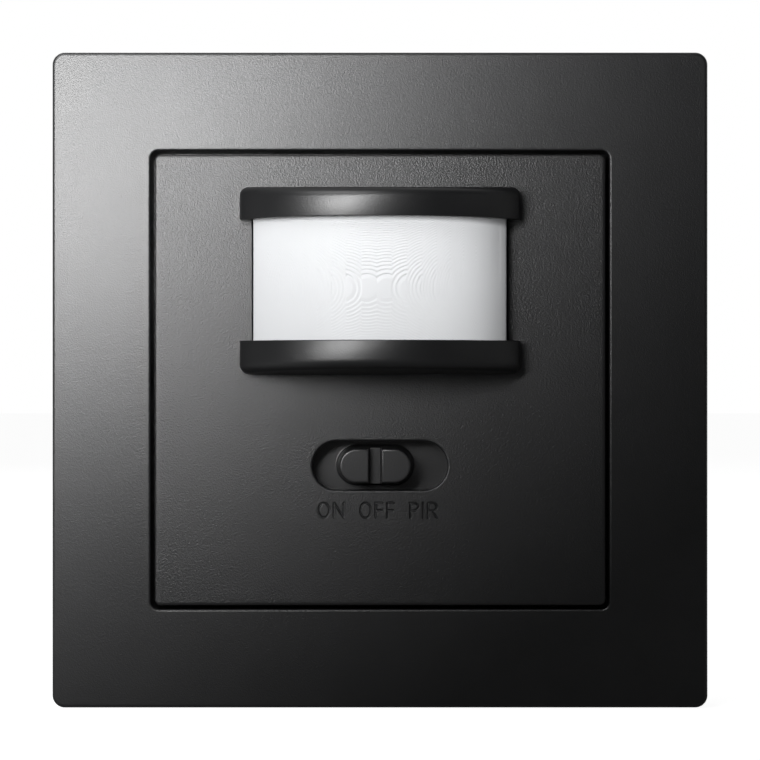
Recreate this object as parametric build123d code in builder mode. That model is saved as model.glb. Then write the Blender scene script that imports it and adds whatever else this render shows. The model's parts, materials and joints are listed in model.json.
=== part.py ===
from build123d import *
import math
import os

# Flush-mounted motion sensor switch, in millimetres.
# X points right as seen from the room, Z points up and Y points into the wall.
# The origin is the middle of the wall-screw pattern, on the wall's plane.
# Distances in front of the wall are counted towards the room, so behind it they are negative.

# One overrun for every cut that passes through a face
overrun = 1.0

# Cover frame
frame_depth = 9.5
frame_corner_r = 1.5
frame_edge_r = 0.4
frame_wall = 1.8
frame_face_t = 2.0
window_size = 56.0
window_corner_r = 1.0
window_edge_r = 0.3
collar_wall = 1.4
collar_lip_t = 1.2
collar_lip_reach = 1.6
collar_clearance = 0.2

# Centre plate
plate_gap = 0.5
plate_t = 1.8
plate_corner_r = 0.7
plate_edge_r = 0.3
skirt_wall = 1.2
leg_t = 1.2
leg_w = 5.0
leg_inset = 1.7
leg_upper_z = 9.0
leg_lower_z = 19.0
barb_t = 0.8
barb_reach = 0.7
barb_clearance = 0.2

# Sensor head: two brims of one hood, with the lens between them
head_w = 34.1
head_h = 22.85
head_z = 12.12
head_reach = 10.5
head_side_reach = 2.1
head_draft_deg = 3.8
head_end_r = 1.6
head_edge_r = 1.1
opening_h = 14.7
hood_wall = 1.5
hood_lip_t = 1.3

# Lens and its retainer
lens_t = 0.7
lens_gap = 0.2
lens_side_gap = 0.15
lens_overlap = 1.2
lens_foot_reach = 0.9
lens_foot_t = 0.6
lens_foot_gap = 0.1
retainer_gap = 0.1
retainer_t = 1.2
retainer_rim = 1.3
retainer_wall = 0.8
retainer_w = 39.2
retainer_margin = 1.9
boss_h = 0.8
boss_r = 1.5
retainer_screw_x = 18.0
retainer_screw_dz = 6.5
retainer_pilot_depth = 1.1
retainer_shank_r = 0.7
retainer_head_r = 1.3
retainer_head_t = 0.8
thread_gap = 0.05

# Slot, shutter and mode knob
slot_w = 16.5
slot_h = 6.0
slot_z = -10.46
slot_edge_r = 0.25
slot_well_h = 1.0
slot_well_wall = 1.6
knob_x = -0.4
grip_x = -0.58
knob_w = 9.4
knob_h = 4.8
knob_top = 10.3
knob_taper_deg = 5.0
knob_edge_r = 0.3
knob_root_r = 0.2
knob_travel = 2.6
groove_w = 1.6
groove_depth = 1.4
shutter_t = 0.8
shutter_h = 8.4
shutter_margin = 1.2
shutter_corner_r = 1.0
slide_clearance = 0.2
rail_t = 1.0
rail_lip_t = 0.8
rail_lip_reach = 0.8
rail_w = 20.0
prong_t = 1.0
prong_h = 2.8
prong_gap = 0.1
prong_clearance = 0.5

# Engraved words under the slot
label_z = -15.9
label_h = 2.0
label_pen = 0.25
label_depth = 0.25
label_on_x = -5.95
label_off_x = -0.37
label_pir_x = 5.3
letter_gap = 0.38
letter_width_shares = {"O": 0.75, "N": 0.7, "F": 0.5, "P": 0.6, "I": 0.125, "R": 0.625}

# Support ring
ring_rim = 2.0
ring_frame_gap = 2.7
ring_t = 1.2
ring_corner_r = 4.0
ring_gap = 0.3
ring_edge_r = 0.2
wall_screw_pitch = 60.0
wall_slot_w = 4.2
wall_slot_l = 7.0
leg_notch_margin = 0.6

# Front cover of the device
flange_size = 52.0
flange_t = 1.6
flange_corner_r = 3.0
pyro_hole_r = 5.6
light_hole_r = 2.3
funnel_wall = 1.0
funnel_h = 2.6
funnel_w = 26.0
funnel_height = 13.6
lever_slot_margin = 1.0
trimmer_hole_r = 3.2

# Rear housing
housing_w = 44.0
housing_h = 50.0
housing_corner_r = 9.0
housing_depth = 32.0
housing_wall = 1.6
boss_post_r = 2.3
boss_inset_x = 5.6
boss_inset_z = 4.8
housing_screw_r = 0.95
housing_screw_l = 9.0
housing_head_r = 1.9
housing_head_t = 1.1
pilot_extra = 1.0
lug_w = 12.0
lug_reach = 2.2
lug_t = 1.4
shelf_pin_gap = 0.28
low_shelf_h = 8.0
high_shelf_w = 1.5
high_shelf_h = 5.0
high_shelf_z = 11.0

# Spreading claws
claw_offset = 2.9
claw_z = -6.5
claw_screw_r = 1.5
claw_screw_gap = 0.1
claw_head_r = 2.5
claw_head_t = 1.5
claw_head_notch = 0.6
claw_screw_end = -20.0
nut_w = 4.4
nut_h = 6.0
nut_l = 3.5
nut_rear = -14.0
nut_bore_gap = 0.05
trunnion_r = 0.8
trunnion_l = 1.4
trunnion_gap = 0.05
cheek_gap = 0.2
cheek_t = 1.0
cheek_w = 3.2
cheek_nose = 1.5
cheek_end = -29.0
claw_bridge_t = 1.0
claw_bridge_l = 2.0
tooth_l = 1.6
claw_teeth = 3
tooth_reach = 1.0
wedge_front = -21.5
wedge_peak = -21.9
wedge_rear = -28.1
wedge_reach = 4.9
wedge_gap = 0.5

# Sensor board and what it carries
board_gap = 0.4
board_t = 1.6
board_drop = 7.2
board_boss_gap = 0.5
spacer_t = 1.2
can_base_r = 4.6
can_base_t = 0.6
can_r = 4.1
can_h = 3.6
can_edge_r = 0.4
can_wall = 0.4
pyro_window_w = 4.6
pyro_window_h = 3.2
pyro_window_t = 0.5
pyro_window_gap = 0.05
lead_r = 0.23
lead_circle_r = 2.54
lead_tail = 1.4
lead_gap = 0.07
light_x = -9.5
light_r = 1.5
light_h = 3.4
light_foot_r = 1.9
light_foot_t = 0.8
light_dome_share = 0.9
header_inset = 3.0
header_post_gap = 1.55
header_pins = 5
header_pin_spacing = 2.54
header_pin_w = 0.64
header_body_t = 2.5
header_pin_tail = 1.2
header_hole_r = 0.5
header_gap = 0.2
socket_gap = 0.08
chip_w = 4.0
chip_h = 10.0
chip_t = 1.6
chip_inset = 6.0
chip_z = -1.0
chip_leg_w = 0.45
chip_leg_reach = 1.0
chip_leg_t = 0.2
chip_legs = 8
small_chip_l = 2.0
small_chip_w = 1.25
small_chip_t = 0.6
small_chip_place_shares = [
    (-0.28, 0.02), (-0.2, 0.02), (-0.12, 0.02), (0.02, 0.02), (0.1, 0.02),
    (0.18, 0.02), (-0.22, -0.12), (0.3, 0.2), (0.3, 0.27), (0.2, 0.45),
    (0.1, 0.45), (-0.1, 0.45),
]
sensor_cap_r = 2.0
sensor_cap_h = 5.4
sensor_cap_inset = 6.0
sensor_cap_z = (-4.5, -9.5)
sensor_cap_groove = 0.15

# Slide switch on the sensor board
switch_shell_t = 0.4
switch_shell_h = 4.4
switch_inner_h = 5.0
switch_plate_w = 6.0
switch_plate_t = 1.2
switch_end_gap = 0.35
switch_lever_w = 2.0
switch_lever_top = 5.4
switch_base_t = 1.4
switch_contact_t = 0.5
switch_contact_w = 4.2
switch_contact_h = 1.4
switch_pin_r = 0.3
switch_pin_dz = 1.5
switch_pin_rise = 0.3

# Trimmers on the sensor board
trimmer_switch_gap = 0.25
trimmer_inset = 4.6
trimmer_size = 6.0
trimmer_h = 4.4
trimmer_corner_r = 0.5
rotor_r = 2.3
rotor_gap = 0.05
rotor_depth = 2.4
rotor_rise = 0.9
rotor_slot_w = 0.6
rotor_slot_depth = 0.7
rotor_slot_l = 3.4

# Power board and what it carries, on its rear face
stack_gap = 5.0
power_gap = 0.3
power_corner_r = 6.0
relay_inset = 2.5
relay_drop = 14.8
relay_w = 19.0
relay_h = 10.6
relay_depth = 15.2
relay_wall = 0.6
relay_base_t = 1.6
relay_base_gap = 0.1
relay_edge_r = 0.5
coil_offset = 3.2
coil_r = 3.5
coil_flange_r = 4.1
coil_flange_t = 0.7
coil_l = 8.6
core_r = 1.2
core_gap = 0.05
yoke_t = 1.0
yoke_w = 6.0
yoke_post_gap = 0.6
pole_face_r = 2.6
pole_face_t = 0.5
armature_t = 0.9
armature_gap = 0.5
armature_seat_gap = 0.2
armature_margin = 0.4
armature_overhang = 1.6
blade_t = 0.3
blade_w = 3.6
blade_l = 8.6
contact_r = 0.9
contact_t = 0.4
contact_gap = 0.5
contact_post_t = 0.6
contact_post_h = 5.0
film_inset = 2.0
film_drop = 17.4
film_w = 11.4
film_h = 6.0
film_depth = 10.5
film_edge_r = 0.5
smoothing_inset = 4.5
smoothing_drop = 7.8
smoothing_r = 4.8
smoothing_depth = 13.5
filter_x = -1.8
filter_drop = 4.0
filter_r = 3.1
filter_depth = 8.2
cap_base_t = 0.6
cap_groove = 0.3
cap_edge_r = 0.4
bridge_inset = 5.0
bridge_drop = 4.6
bridge_w = 7.6
bridge_h = 6.4
bridge_t = 2.6
bridge_leg_w = 1.0
bridge_leg_reach = 1.2
bridge_leg_t = 0.3
varistor_bar_gap = 0.3
varistor_rise_share = 0.742
varistor_r = 3.6
varistor_t = 3.4
varistor_edge_r = 0.8
wire_r = 0.3
fuse_x = -5.0
fuse_rise_share = 0.638
fuse_l = 7.0
fuse_r = 1.5
fuse_end_l = 1.4
fuse_waist = 0.25
fuse_lead_overhang = 1.6

# Terminals for three wires
pole_pitch = 7.5
terminal_w = 23.2
terminal_h = 11.1
terminal_step = 3.8
terminal_edge_r = 0.4
terminal_gap = 0.2
terminal_axis_h = 6.0
terminal_screw_r = 1.4
terminal_head_r = 2.2
terminal_head_t = 1.5
terminal_head_sink = 0.6
terminal_head_gap = 0.2
terminal_partition_t = 1.0
terminal_slot_w = 0.6
terminal_slot_depth = 0.7
cage_w = 5.8
cage_h = 4.0
cage_side_t = 0.8
cage_top_t = 1.2
cage_floor_t = 1.0
cage_gap = 0.2
cage_rest_gap = 2.1
cage_end_gap = 0.3
cage_bar_gap = 1.0
cage_bore_gap = 0.05
bar_t = 0.8
bar_w = 3.6
wire_hole_r = 1.5
wire_space = 3.0
bar_gap = 0.1
bar_screw_gap = 0.4
bar_reach = 1.4
bar_tail_w = 1.6

# Distances in front of the wall that follow from the sizes above
flange_front = ring_t + flange_t
collar_end = flange_front + collar_clearance
skirt_end = collar_end + collar_lip_t
plate_front = frame_depth
plate_back = plate_front - plate_t
well_end = plate_back - slot_well_h
shutter_front = well_end - slide_clearance
shutter_back = shutter_front - shutter_t
board_front = ring_t - board_drop
board_back = board_front - board_t
power_front = board_back - stack_gap
power_back = power_front - board_t
housing_end = -housing_depth
housing_floor = housing_end + housing_wall

# Places and sizes across the wall that follow from them
plate_size = window_size - 2 * plate_gap
ring_size = wall_screw_pitch + wall_slot_l + 2 * ring_rim
frame_size = ring_size + 2 * (ring_frame_gap + frame_wall)
boss_x = housing_w / 2 - boss_inset_x
boss_z = housing_h / 2 - boss_inset_z
claw_x = housing_w / 2 + claw_offset
board_w = housing_w - 2 * (housing_wall + board_gap)
board_h = housing_h - 2 * (housing_wall + board_gap)
board_corner_r = housing_corner_r - housing_wall - board_gap
power_w = housing_w - 2 * (housing_wall + high_shelf_w + power_gap)
header_x = header_inset - board_w / 2
low_shelf_w = housing_w / 2 - housing_wall + header_x - header_pin_w / 2 - shelf_pin_gap
header_h = header_pins * header_pin_spacing
header_z = boss_z - boss_post_r - header_post_gap - header_h / 2
chip_x = board_w / 2 - chip_inset
sensor_cap_x = sensor_cap_inset - board_w / 2
switch_inner_w = switch_plate_w + 2 * knob_travel + 2 * switch_end_gap
switch_outer_x = abs(knob_x) + switch_inner_w / 2 + switch_shell_t
trimmer_x = switch_outer_x + trimmer_switch_gap + trimmer_size / 2
trimmer_z = trimmer_inset - board_h / 2
relay_x = relay_inset - power_w / 2 + relay_w / 2
relay_z = board_h / 2 - relay_drop
film_x = power_w / 2 - film_inset - film_w / 2
film_z = board_h / 2 - film_drop
smoothing_x = power_w / 2 - smoothing_inset - smoothing_r
smoothing_z = board_h / 2 - smoothing_drop
filter_z = board_h / 2 - filter_drop
bridge_x = bridge_inset - power_w / 2 + bridge_w / 2
bridge_z = board_h / 2 - bridge_drop
terminal_top = terminal_h - housing_h / 2
terminal_z = terminal_axis_h - housing_h / 2
varistor_x = pole_pitch - bar_tail_w / 2 - varistor_bar_gap - varistor_t / 2
varistor_room = film_z - film_h / 2 - terminal_top - 2 * varistor_r
varistor_z = terminal_top + varistor_r + varistor_rise_share * varistor_room
fuse_room = relay_z - relay_h / 2 - terminal_top - 2 * fuse_r
fuse_z = terminal_top + fuse_r + fuse_rise_share * fuse_room

# The brims' front is part of an upright cylinder through their apex and both of their ends
head_half_w = head_w / 2
head_bow = head_reach - head_side_reach
head_r = (head_half_w**2 + head_bow**2) / (2 * head_bow)
head_axis = plate_front + head_reach - head_r
head_drop = head_reach * math.tan(math.radians(head_draft_deg))
cavity_half_w = head_half_w - hood_wall
cavity_half_h = head_h / 2 - head_drop - hood_wall + lens_side_gap
lens_half_w = cavity_half_w - lens_side_gap
lens_half_h = opening_h / 2 + lens_overlap
lens_r = head_r - hood_lip_t - lens_gap
lens_rear = plate_back - lens_foot_gap - lens_foot_t
retainer_front = plate_back - boss_h
retainer_back = retainer_front - retainer_t

os.makedirs("parts", exist_ok=True)


def facing(distance):
    """Plane parallel to the wall at this distance in front of it, seen from the room."""
    return Plane.XZ.offset(distance)


def level(height):
    """Horizontal plane at this height."""
    return Plane.XY.offset(height)


def bow(half_w, radius, rear):
    """Plan region ahead of a rear line, bounded by the head's upright cylinder."""
    with Locations((0, -head_axis)):
        Circle(radius)
    with Locations((0, -rear)):
        Rectangle(2 * half_w, 2 * radius, align=(Align.CENTER, Align.MAX), mode=Mode.INTERSECT)


def cross_slot(width, length):
    """Cross of two bars, the recess in a screw's or rotor's head."""
    Rectangle(length, width)
    Rectangle(width, length)


def four_corners(x, z):
    """The four places at plus and minus x and z."""
    return [(-x, -z), (x, -z), (-x, z), (x, z)]


# Cover frame: a shallow box with a window, whose collar ends in a lip for the centre plate
with BuildPart() as cover_frame:
    with BuildSketch(facing(0)):
        RectangleRounded(frame_size, frame_size, frame_corner_r)
    extrude(amount=frame_depth)
    fillet(cover_frame.faces().sort_by(Axis.Y)[0].edges(), frame_edge_r)
    with BuildSketch(facing(0)):
        RectangleRounded(frame_size - 2 * frame_wall, frame_size - 2 * frame_wall, frame_corner_r)
        Rectangle(window_size + 2 * collar_wall, window_size + 2 * collar_wall, mode=Mode.SUBTRACT)
    extrude(amount=frame_depth - frame_face_t, mode=Mode.SUBTRACT)
    with BuildSketch(facing(0)):
        Rectangle(window_size + 2 * collar_wall, window_size + 2 * collar_wall)
    extrude(amount=collar_end, mode=Mode.SUBTRACT)
    with BuildSketch(facing(collar_end)):
        Rectangle(window_size - 2 * collar_lip_reach, window_size - 2 * collar_lip_reach)
    extrude(amount=collar_lip_t, mode=Mode.SUBTRACT)
    with BuildSketch(facing(skirt_end)):
        RectangleRounded(window_size, window_size, window_corner_r)
    extrude(amount=frame_depth, mode=Mode.SUBTRACT)
    fillet(cover_frame.faces().sort_by(Axis.Y)[0].inner_wires()[0].edges(), window_edge_r)
cover_frame.part.label = "cover_frame"
export_step(cover_frame.part, "parts/cover_frame.step")


# Strokes of each letter as shares of its width and height, and the bows of P and R
letter_middle_share = 0.47
bow_start_share = 0.5
letter_stroke_shares = {
    "N": [((0, 0), (0, 1)), ((0, 1), (1, 0)), ((1, 0), (1, 1))],
    "F": [((0, 0), (0, 1)), ((0, 1), (1, 1)), ((0, 0.5), (0.85, 0.5))],
    "I": [((0, 0), (0, 1))],
    "P": [((0, 0), (0, 1)), ((0, 1), (bow_start_share, 1)),
          ((0, letter_middle_share), (bow_start_share, letter_middle_share))],
    "R": [((0, 0), (0, 1)), ((0, 1), (bow_start_share, 1)),
          ((0, letter_middle_share), (bow_start_share, letter_middle_share)),
          ((bow_start_share, letter_middle_share), (1, 0))],
}


def letter(name, left):
    """One capital as pen strokes with round ends, its outer left edge at this place."""
    width = letter_width_shares[name] * label_h
    span_x = width - label_pen
    span_z = label_h - label_pen
    origin = (left + label_pen / 2, label_z - span_z / 2)
    if name == "O":
        with Locations((left + width / 2, label_z)):
            Ellipse(width / 2, label_h / 2)
            Ellipse(width / 2 - label_pen, label_h / 2 - label_pen, mode=Mode.SUBTRACT)
        return
    for ends in letter_stroke_shares[name]:
        (x0, z0), (x1, z1) = [(origin[0] + x * span_x, origin[1] + z * span_z) for x, z in ends]
        turn = math.degrees(math.atan2(z1 - z0, x1 - x0))
        with Locations(((x0 + x1) / 2, (z0 + z1) / 2)):
            SlotCenterToCenter(math.hypot(x1 - x0, z1 - z0), label_pen, rotation=turn)
    if name in "PR":
        start_x = origin[0] + bow_start_share * span_x
        top = origin[1] + span_z
        foot = origin[1] + letter_middle_share * span_z
        peak = (origin[0] + span_x, (top + foot) / 2)
        SlotArc(Edge.make_three_point_arc((start_x, top), peak, (start_x, foot)), label_pen)


def word(text, centre_x):
    """A word of evenly spaced capitals, centred on this place."""
    width = sum(letter_width_shares[name] * label_h for name in text)
    width += letter_gap * (len(text) - 1)
    left = centre_x - width / 2
    for name in text:
        letter(name, left)
        left += letter_width_shares[name] * label_h + letter_gap


# Centre plate: plate, skirt, hood, rails and latch legs are one moulding
leg_x = plate_size / 2 - skirt_wall - leg_inset
leg_end = ring_t - barb_clearance - barb_t
leg_places = [(side * leg_x, z) for side in (-1, 1) for z in (leg_upper_z, -leg_lower_z)]
rail_z = shutter_h / 2 + slide_clearance
rail_end = shutter_back - slide_clearance - rail_lip_t
retainer_screw_places = four_corners(retainer_screw_x, retainer_screw_dz)
with BuildPart() as centre_plate:
    with BuildSketch(Plane.YZ):
        with BuildLine():
            Polyline(
                (-plate_back, head_z - head_h / 2),
                (-plate_front, head_z - head_h / 2),
                (-plate_front - head_reach, head_z - head_h / 2 + head_drop),
                (-plate_front - head_reach, head_z + head_h / 2 - head_drop),
                (-plate_front, head_z + head_h / 2),
                (-plate_back, head_z + head_h / 2),
                close=True,
            )
        make_face()
    extrude(amount=head_half_w, both=True)
    with BuildSketch(level(head_z - head_h / 2)):
        bow(head_half_w, head_r, plate_back)
    extrude(amount=head_h, mode=Mode.INTERSECT)
    fillet(centre_plate.edges().filter_by(Axis.Z).group_by(Axis.Y)[0], head_end_r)
    upper_rim = centre_plate.edges().filter_by(lambda edge: edge.center().Z > head_z + opening_h / 2)
    lower_rim = centre_plate.edges().filter_by(lambda edge: edge.center().Z < head_z - opening_h / 2)
    ahead = (upper_rim + lower_rim).filter_by(lambda edge: edge.center().Y < -plate_front - overrun / 2)
    fillet(ahead, head_edge_r)
    with BuildSketch(level(head_z - opening_h / 2)):
        with Locations((0, -plate_front)):
            Rectangle(head_w + overrun, 2 * head_reach, align=(Align.CENTER, Align.MAX))
    extrude(amount=opening_h, mode=Mode.SUBTRACT)
    with BuildSketch(facing(skirt_end)):
        RectangleRounded(plate_size, plate_size, plate_corner_r)
    extrude(amount=plate_front - skirt_end)
    plate_face = centre_plate.faces().filter_by(Axis.Y).sort_by(SortBy.AREA)[-2:].sort_by(Axis.Y)[0]
    fillet(plate_face.outer_wire().edges(), plate_edge_r)
    with BuildSketch(facing(skirt_end)):
        Rectangle(plate_size - 2 * skirt_wall, plate_size - 2 * skirt_wall)
    extrude(amount=plate_back - skirt_end, mode=Mode.SUBTRACT)
    # The hood's cavity, open to the front between the brims
    with BuildSketch(level(head_z - cavity_half_h)):
        bow(cavity_half_w, head_r - hood_lip_t, plate_back - overrun)
    extrude(amount=2 * cavity_half_h, mode=Mode.SUBTRACT)
    # Slot for the knob, in a well that reaches back to the shutter
    with BuildSketch(facing(well_end)):
        with Locations((0, slot_z)):
            SlotOverall(slot_w + 2 * slot_well_wall, slot_h + 2 * slot_well_wall)
    extrude(amount=slot_well_h)
    with BuildSketch(facing(well_end)):
        with Locations((0, slot_z)):
            SlotOverall(slot_w, slot_h)
    extrude(amount=slot_well_h + plate_t, mode=Mode.SUBTRACT)
    slot_rim = centre_plate.edges().filter_by(
        lambda edge: abs(edge.center().Y + plate_front) < slot_edge_r
        and abs(edge.center().Z - slot_z) < slot_h
        and abs(edge.center().X) < slot_w / 2
    )
    fillet(slot_rim, slot_edge_r)
    with BuildSketch(facing(plate_front)):
        word("ON", label_on_x)
        word("OFF", label_off_x)
        word("PIR", label_pir_x)
    extrude(amount=-label_depth, mode=Mode.SUBTRACT)
    # Rails that the shutter slides between, each with a lip behind it
    for side in (-1, 1):
        with BuildSketch(facing(rail_end)):
            with Locations((0, slot_z + side * (rail_z + rail_t / 2))):
                Rectangle(rail_w, rail_t)
        extrude(amount=plate_back - rail_end)
        with BuildSketch(facing(rail_end)):
            with Locations((0, slot_z + side * (rail_z - rail_lip_reach / 2))):
                Rectangle(rail_w, rail_lip_reach)
        extrude(amount=rail_lip_t)
    # Bosses for the lens retainer's screws
    with BuildSketch(facing(retainer_front)):
        with Locations((0, head_z)):
            with Locations(*retainer_screw_places):
                Circle(boss_r)
    extrude(amount=boss_h)
    with BuildSketch(facing(retainer_front)):
        with Locations((0, head_z)):
            with Locations(*retainer_screw_places):
                Circle(retainer_shank_r + thread_gap)
    extrude(amount=boss_h + retainer_pilot_depth, mode=Mode.SUBTRACT)
    # Latch legs, each with a barb that catches behind the device's flange
    with BuildSketch(facing(leg_end)):
        with Locations(*leg_places):
            Rectangle(leg_t, leg_w)
    extrude(amount=plate_back - leg_end)
    for x, z in leg_places:
        side = math.copysign(1, x)
        with BuildSketch(level(z - leg_w / 2)):
            with BuildLine():
                Polyline(
                    (x, -leg_end),
                    (x + side * leg_t / 2, -leg_end),
                    (x + side * (leg_t / 2 + barb_reach), -leg_end - barb_t / 2),
                    (x + side * (leg_t / 2 + barb_reach), -leg_end - barb_t),
                    (x, -leg_end - barb_t),
                    close=True,
                )
            make_face()
        extrude(amount=leg_w)
centre_plate.part.label = "centre_plate"
export_step(centre_plate.part, "parts/centre_plate.step")


# Lens: an upright curved sheet with straight sides and feet that catch behind the plate
with BuildPart() as fresnel_lens:
    with BuildSketch(level(head_z - lens_half_h)):
        bow(lens_half_w, lens_r, lens_rear)
    extrude(amount=2 * lens_half_h)
    with BuildSketch(level(head_z - lens_half_h)):
        bow(lens_half_w - lens_t, lens_r - lens_t, lens_rear - overrun)
    extrude(amount=2 * lens_half_h, mode=Mode.SUBTRACT)
    with BuildSketch(facing(lens_rear)):
        for side in (-1, 1):
            with Locations((side * (lens_half_w + (lens_foot_reach - lens_t) / 2), head_z)):
                Rectangle(lens_foot_reach + lens_t, 2 * lens_half_h)
    extrude(amount=lens_foot_t)
fresnel_lens.part.label = "fresnel_lens"
export_step(fresnel_lens.part, "parts/fresnel_lens.step")


# Lens retainer: a flat frame behind the plate, with two curved trays that back the lens's edges
tray_half_w = lens_half_w - lens_t - lens_side_gap
tray_r = lens_r - lens_t - retainer_gap
tray_half_h = cavity_half_h - lens_gap
view_half_w = tray_half_w - retainer_rim
view_half_h = opening_h / 2 - lens_gap
retainer_h = 2 * (cavity_half_h + retainer_margin)
with BuildPart() as lens_retainer:
    with BuildSketch(level(head_z - tray_half_h)):
        bow(tray_half_w, tray_r, retainer_back)
    extrude(amount=2 * tray_half_h)
    with BuildSketch(level(head_z - tray_half_h + retainer_wall)):
        bow(view_half_w, tray_r - retainer_rim, retainer_back - overrun)
    extrude(amount=2 * (tray_half_h - retainer_wall), mode=Mode.SUBTRACT)
    with BuildSketch(level(head_z - view_half_h)):
        with Locations((0, -retainer_back)):
            Rectangle(2 * head_w, 2 * head_w, align=(Align.CENTER, Align.MAX))
    extrude(amount=2 * view_half_h, mode=Mode.SUBTRACT)
    with BuildSketch(facing(retainer_back)):
        with Locations((0, head_z)):
            RectangleRounded(retainer_w, retainer_h, retainer_rim)
            Rectangle(2 * view_half_w, 2 * (tray_half_h - retainer_wall), mode=Mode.SUBTRACT)
            with Locations(*retainer_screw_places):
                Circle(retainer_shank_r + thread_gap, mode=Mode.SUBTRACT)
    extrude(amount=retainer_t)
lens_retainer.part.label = "lens_retainer"
export_step(lens_retainer.part, "parts/lens_retainer.step")


with BuildPart() as retainer_screws:
    with BuildSketch(facing(retainer_back)):
        with Locations((0, head_z)):
            with Locations(*retainer_screw_places):
                Circle(retainer_head_r)
    extrude(amount=-retainer_head_t)
    with BuildSketch(facing(retainer_back)):
        with Locations((0, head_z)):
            with Locations(*retainer_screw_places):
                Circle(retainer_shank_r)
    extrude(amount=retainer_t + boss_h + retainer_pilot_depth - thread_gap)
    with BuildSketch(facing(retainer_back - retainer_head_t)):
        with Locations((0, head_z)):
            with Locations(*retainer_screw_places):
                cross_slot(retainer_shank_r / 2, retainer_head_r)
    extrude(amount=retainer_head_t / 2, mode=Mode.SUBTRACT)
retainer_screws.part.label = "retainer_screws"
export_step(retainer_screws.part, "parts/retainer_screws.step")


# Mode knob: a grooved grip on a shutter plate, with two prongs behind that take the switch's lever
shutter_w = slot_w + 2 * knob_travel + 2 * abs(knob_x) + 2 * shutter_margin
prong_end = flange_front + prong_clearance
prong_x = switch_lever_w / 2 + prong_gap + prong_t / 2
with BuildPart() as mode_knob:
    with BuildSketch(facing(shutter_front)):
        with Locations((grip_x, slot_z)):
            SlotOverall(knob_w, knob_h)
    extrude(amount=knob_top - shutter_front, taper=knob_taper_deg)
    fillet(mode_knob.faces().sort_by(Axis.Y)[0].edges(), knob_edge_r)
    with BuildSketch(facing(knob_top - groove_depth)):
        with Locations((grip_x, slot_z)):
            Rectangle(groove_w, knob_h)
    extrude(amount=groove_depth, mode=Mode.SUBTRACT)
    with BuildSketch(facing(shutter_back)):
        with Locations((knob_x, slot_z)):
            RectangleRounded(shutter_w, shutter_h, shutter_corner_r)
    extrude(amount=shutter_t)
    root = mode_knob.edges().filter_by(
        lambda edge: abs(edge.center().Y + shutter_front) < knob_root_r / 2
        and abs(edge.center().X - grip_x) < (knob_w + groove_w) / 2
        and abs(edge.center().Z - slot_z) < (knob_h + groove_w) / 2
    )
    fillet(root, knob_root_r)
    with BuildSketch(facing(prong_end)):
        with Locations((knob_x, slot_z)):
            with Locations((-prong_x, 0), (prong_x, 0)):
                Rectangle(prong_t, prong_h)
    extrude(amount=shutter_back - prong_end)
mode_knob.part.label = "mode_knob"
export_step(mode_knob.part, "parts/mode_knob.step")


# Support ring: stamped steel with slots for the wall box's screws
ring_notch_x = leg_x + leg_t / 2 + barb_reach + leg_notch_margin
wall_slot_places = [(wall_screw_pitch / 2, 0), (-wall_screw_pitch / 2, 0)]
with BuildPart() as support_ring:
    with BuildSketch(facing(0)):
        RectangleRounded(ring_size, ring_size, ring_corner_r)
        RectangleRounded(
            housing_w + 2 * ring_gap,
            housing_h + 2 * ring_gap,
            housing_corner_r + ring_gap,
            mode=Mode.SUBTRACT,
        )
        with Locations((0, leg_upper_z), (0, -leg_lower_z)):
            Rectangle(2 * ring_notch_x, leg_w + 2 * leg_notch_margin, mode=Mode.SUBTRACT)
        with Locations(*wall_slot_places):
            SlotOverall(wall_slot_l, wall_slot_w, mode=Mode.SUBTRACT)
        with Locations((0, wall_screw_pitch / 2), (0, -wall_screw_pitch / 2)):
            SlotOverall(wall_slot_l, wall_slot_w, rotation=90, mode=Mode.SUBTRACT)
        with Locations((claw_x, claw_z), (-claw_x, claw_z)):
            Circle(claw_screw_r + claw_screw_gap, mode=Mode.SUBTRACT)
    extrude(amount=ring_t)
    fillet(support_ring.faces().sort_by(Axis.Y)[0].outer_wire().edges(), ring_edge_r)
support_ring.part.label = "support_ring"
export_step(support_ring.part, "parts/support_ring.step")


# Front cover of the device, with a light-tight funnel towards the lens
housing_screw_places = four_corners(boss_x, boss_z)
lever_slot_w = switch_lever_w + 2 * knob_travel + 2 * lever_slot_margin
head_slope = math.degrees(math.atan2(housing_head_r - housing_screw_r, housing_head_t))
with BuildPart() as module_front:
    with BuildSketch(facing(ring_t)):
        RectangleRounded(flange_size, flange_size, flange_corner_r)
        with Locations((0, head_z)):
            Circle(pyro_hole_r, mode=Mode.SUBTRACT)
        with Locations((light_x, head_z)):
            Circle(light_hole_r, mode=Mode.SUBTRACT)
        with Locations((knob_x, slot_z)):
            Rectangle(lever_slot_w, switch_lever_w + 2 * lever_slot_margin, mode=Mode.SUBTRACT)
        with Locations((trimmer_x, trimmer_z), (-trimmer_x, trimmer_z)):
            Circle(trimmer_hole_r, mode=Mode.SUBTRACT)
        with Locations((claw_x, claw_z), (-claw_x, claw_z)):
            Circle(claw_head_r + claw_head_notch, mode=Mode.SUBTRACT)
        with Locations(*leg_places):
            Rectangle(leg_t + barb_reach, leg_w + leg_notch_margin, mode=Mode.SUBTRACT)
        with Locations(*housing_screw_places):
            Circle(housing_screw_r + thread_gap, mode=Mode.SUBTRACT)
    extrude(amount=flange_t)
    with BuildSketch(facing(flange_front)):
        with Locations(*housing_screw_places):
            Circle(housing_head_r + thread_gap)
    extrude(amount=-housing_head_t, taper=head_slope, mode=Mode.SUBTRACT)
    with BuildSketch(facing(flange_front)):
        with Locations((0, head_z)):
            RectangleRounded(funnel_w, funnel_height, funnel_wall)
            Rectangle(funnel_w - 2 * funnel_wall, funnel_height - 2 * funnel_wall, mode=Mode.SUBTRACT)
    extrude(amount=funnel_h)
module_front.part.label = "module_front"
export_step(module_front.part, "parts/module_front.step")


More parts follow.
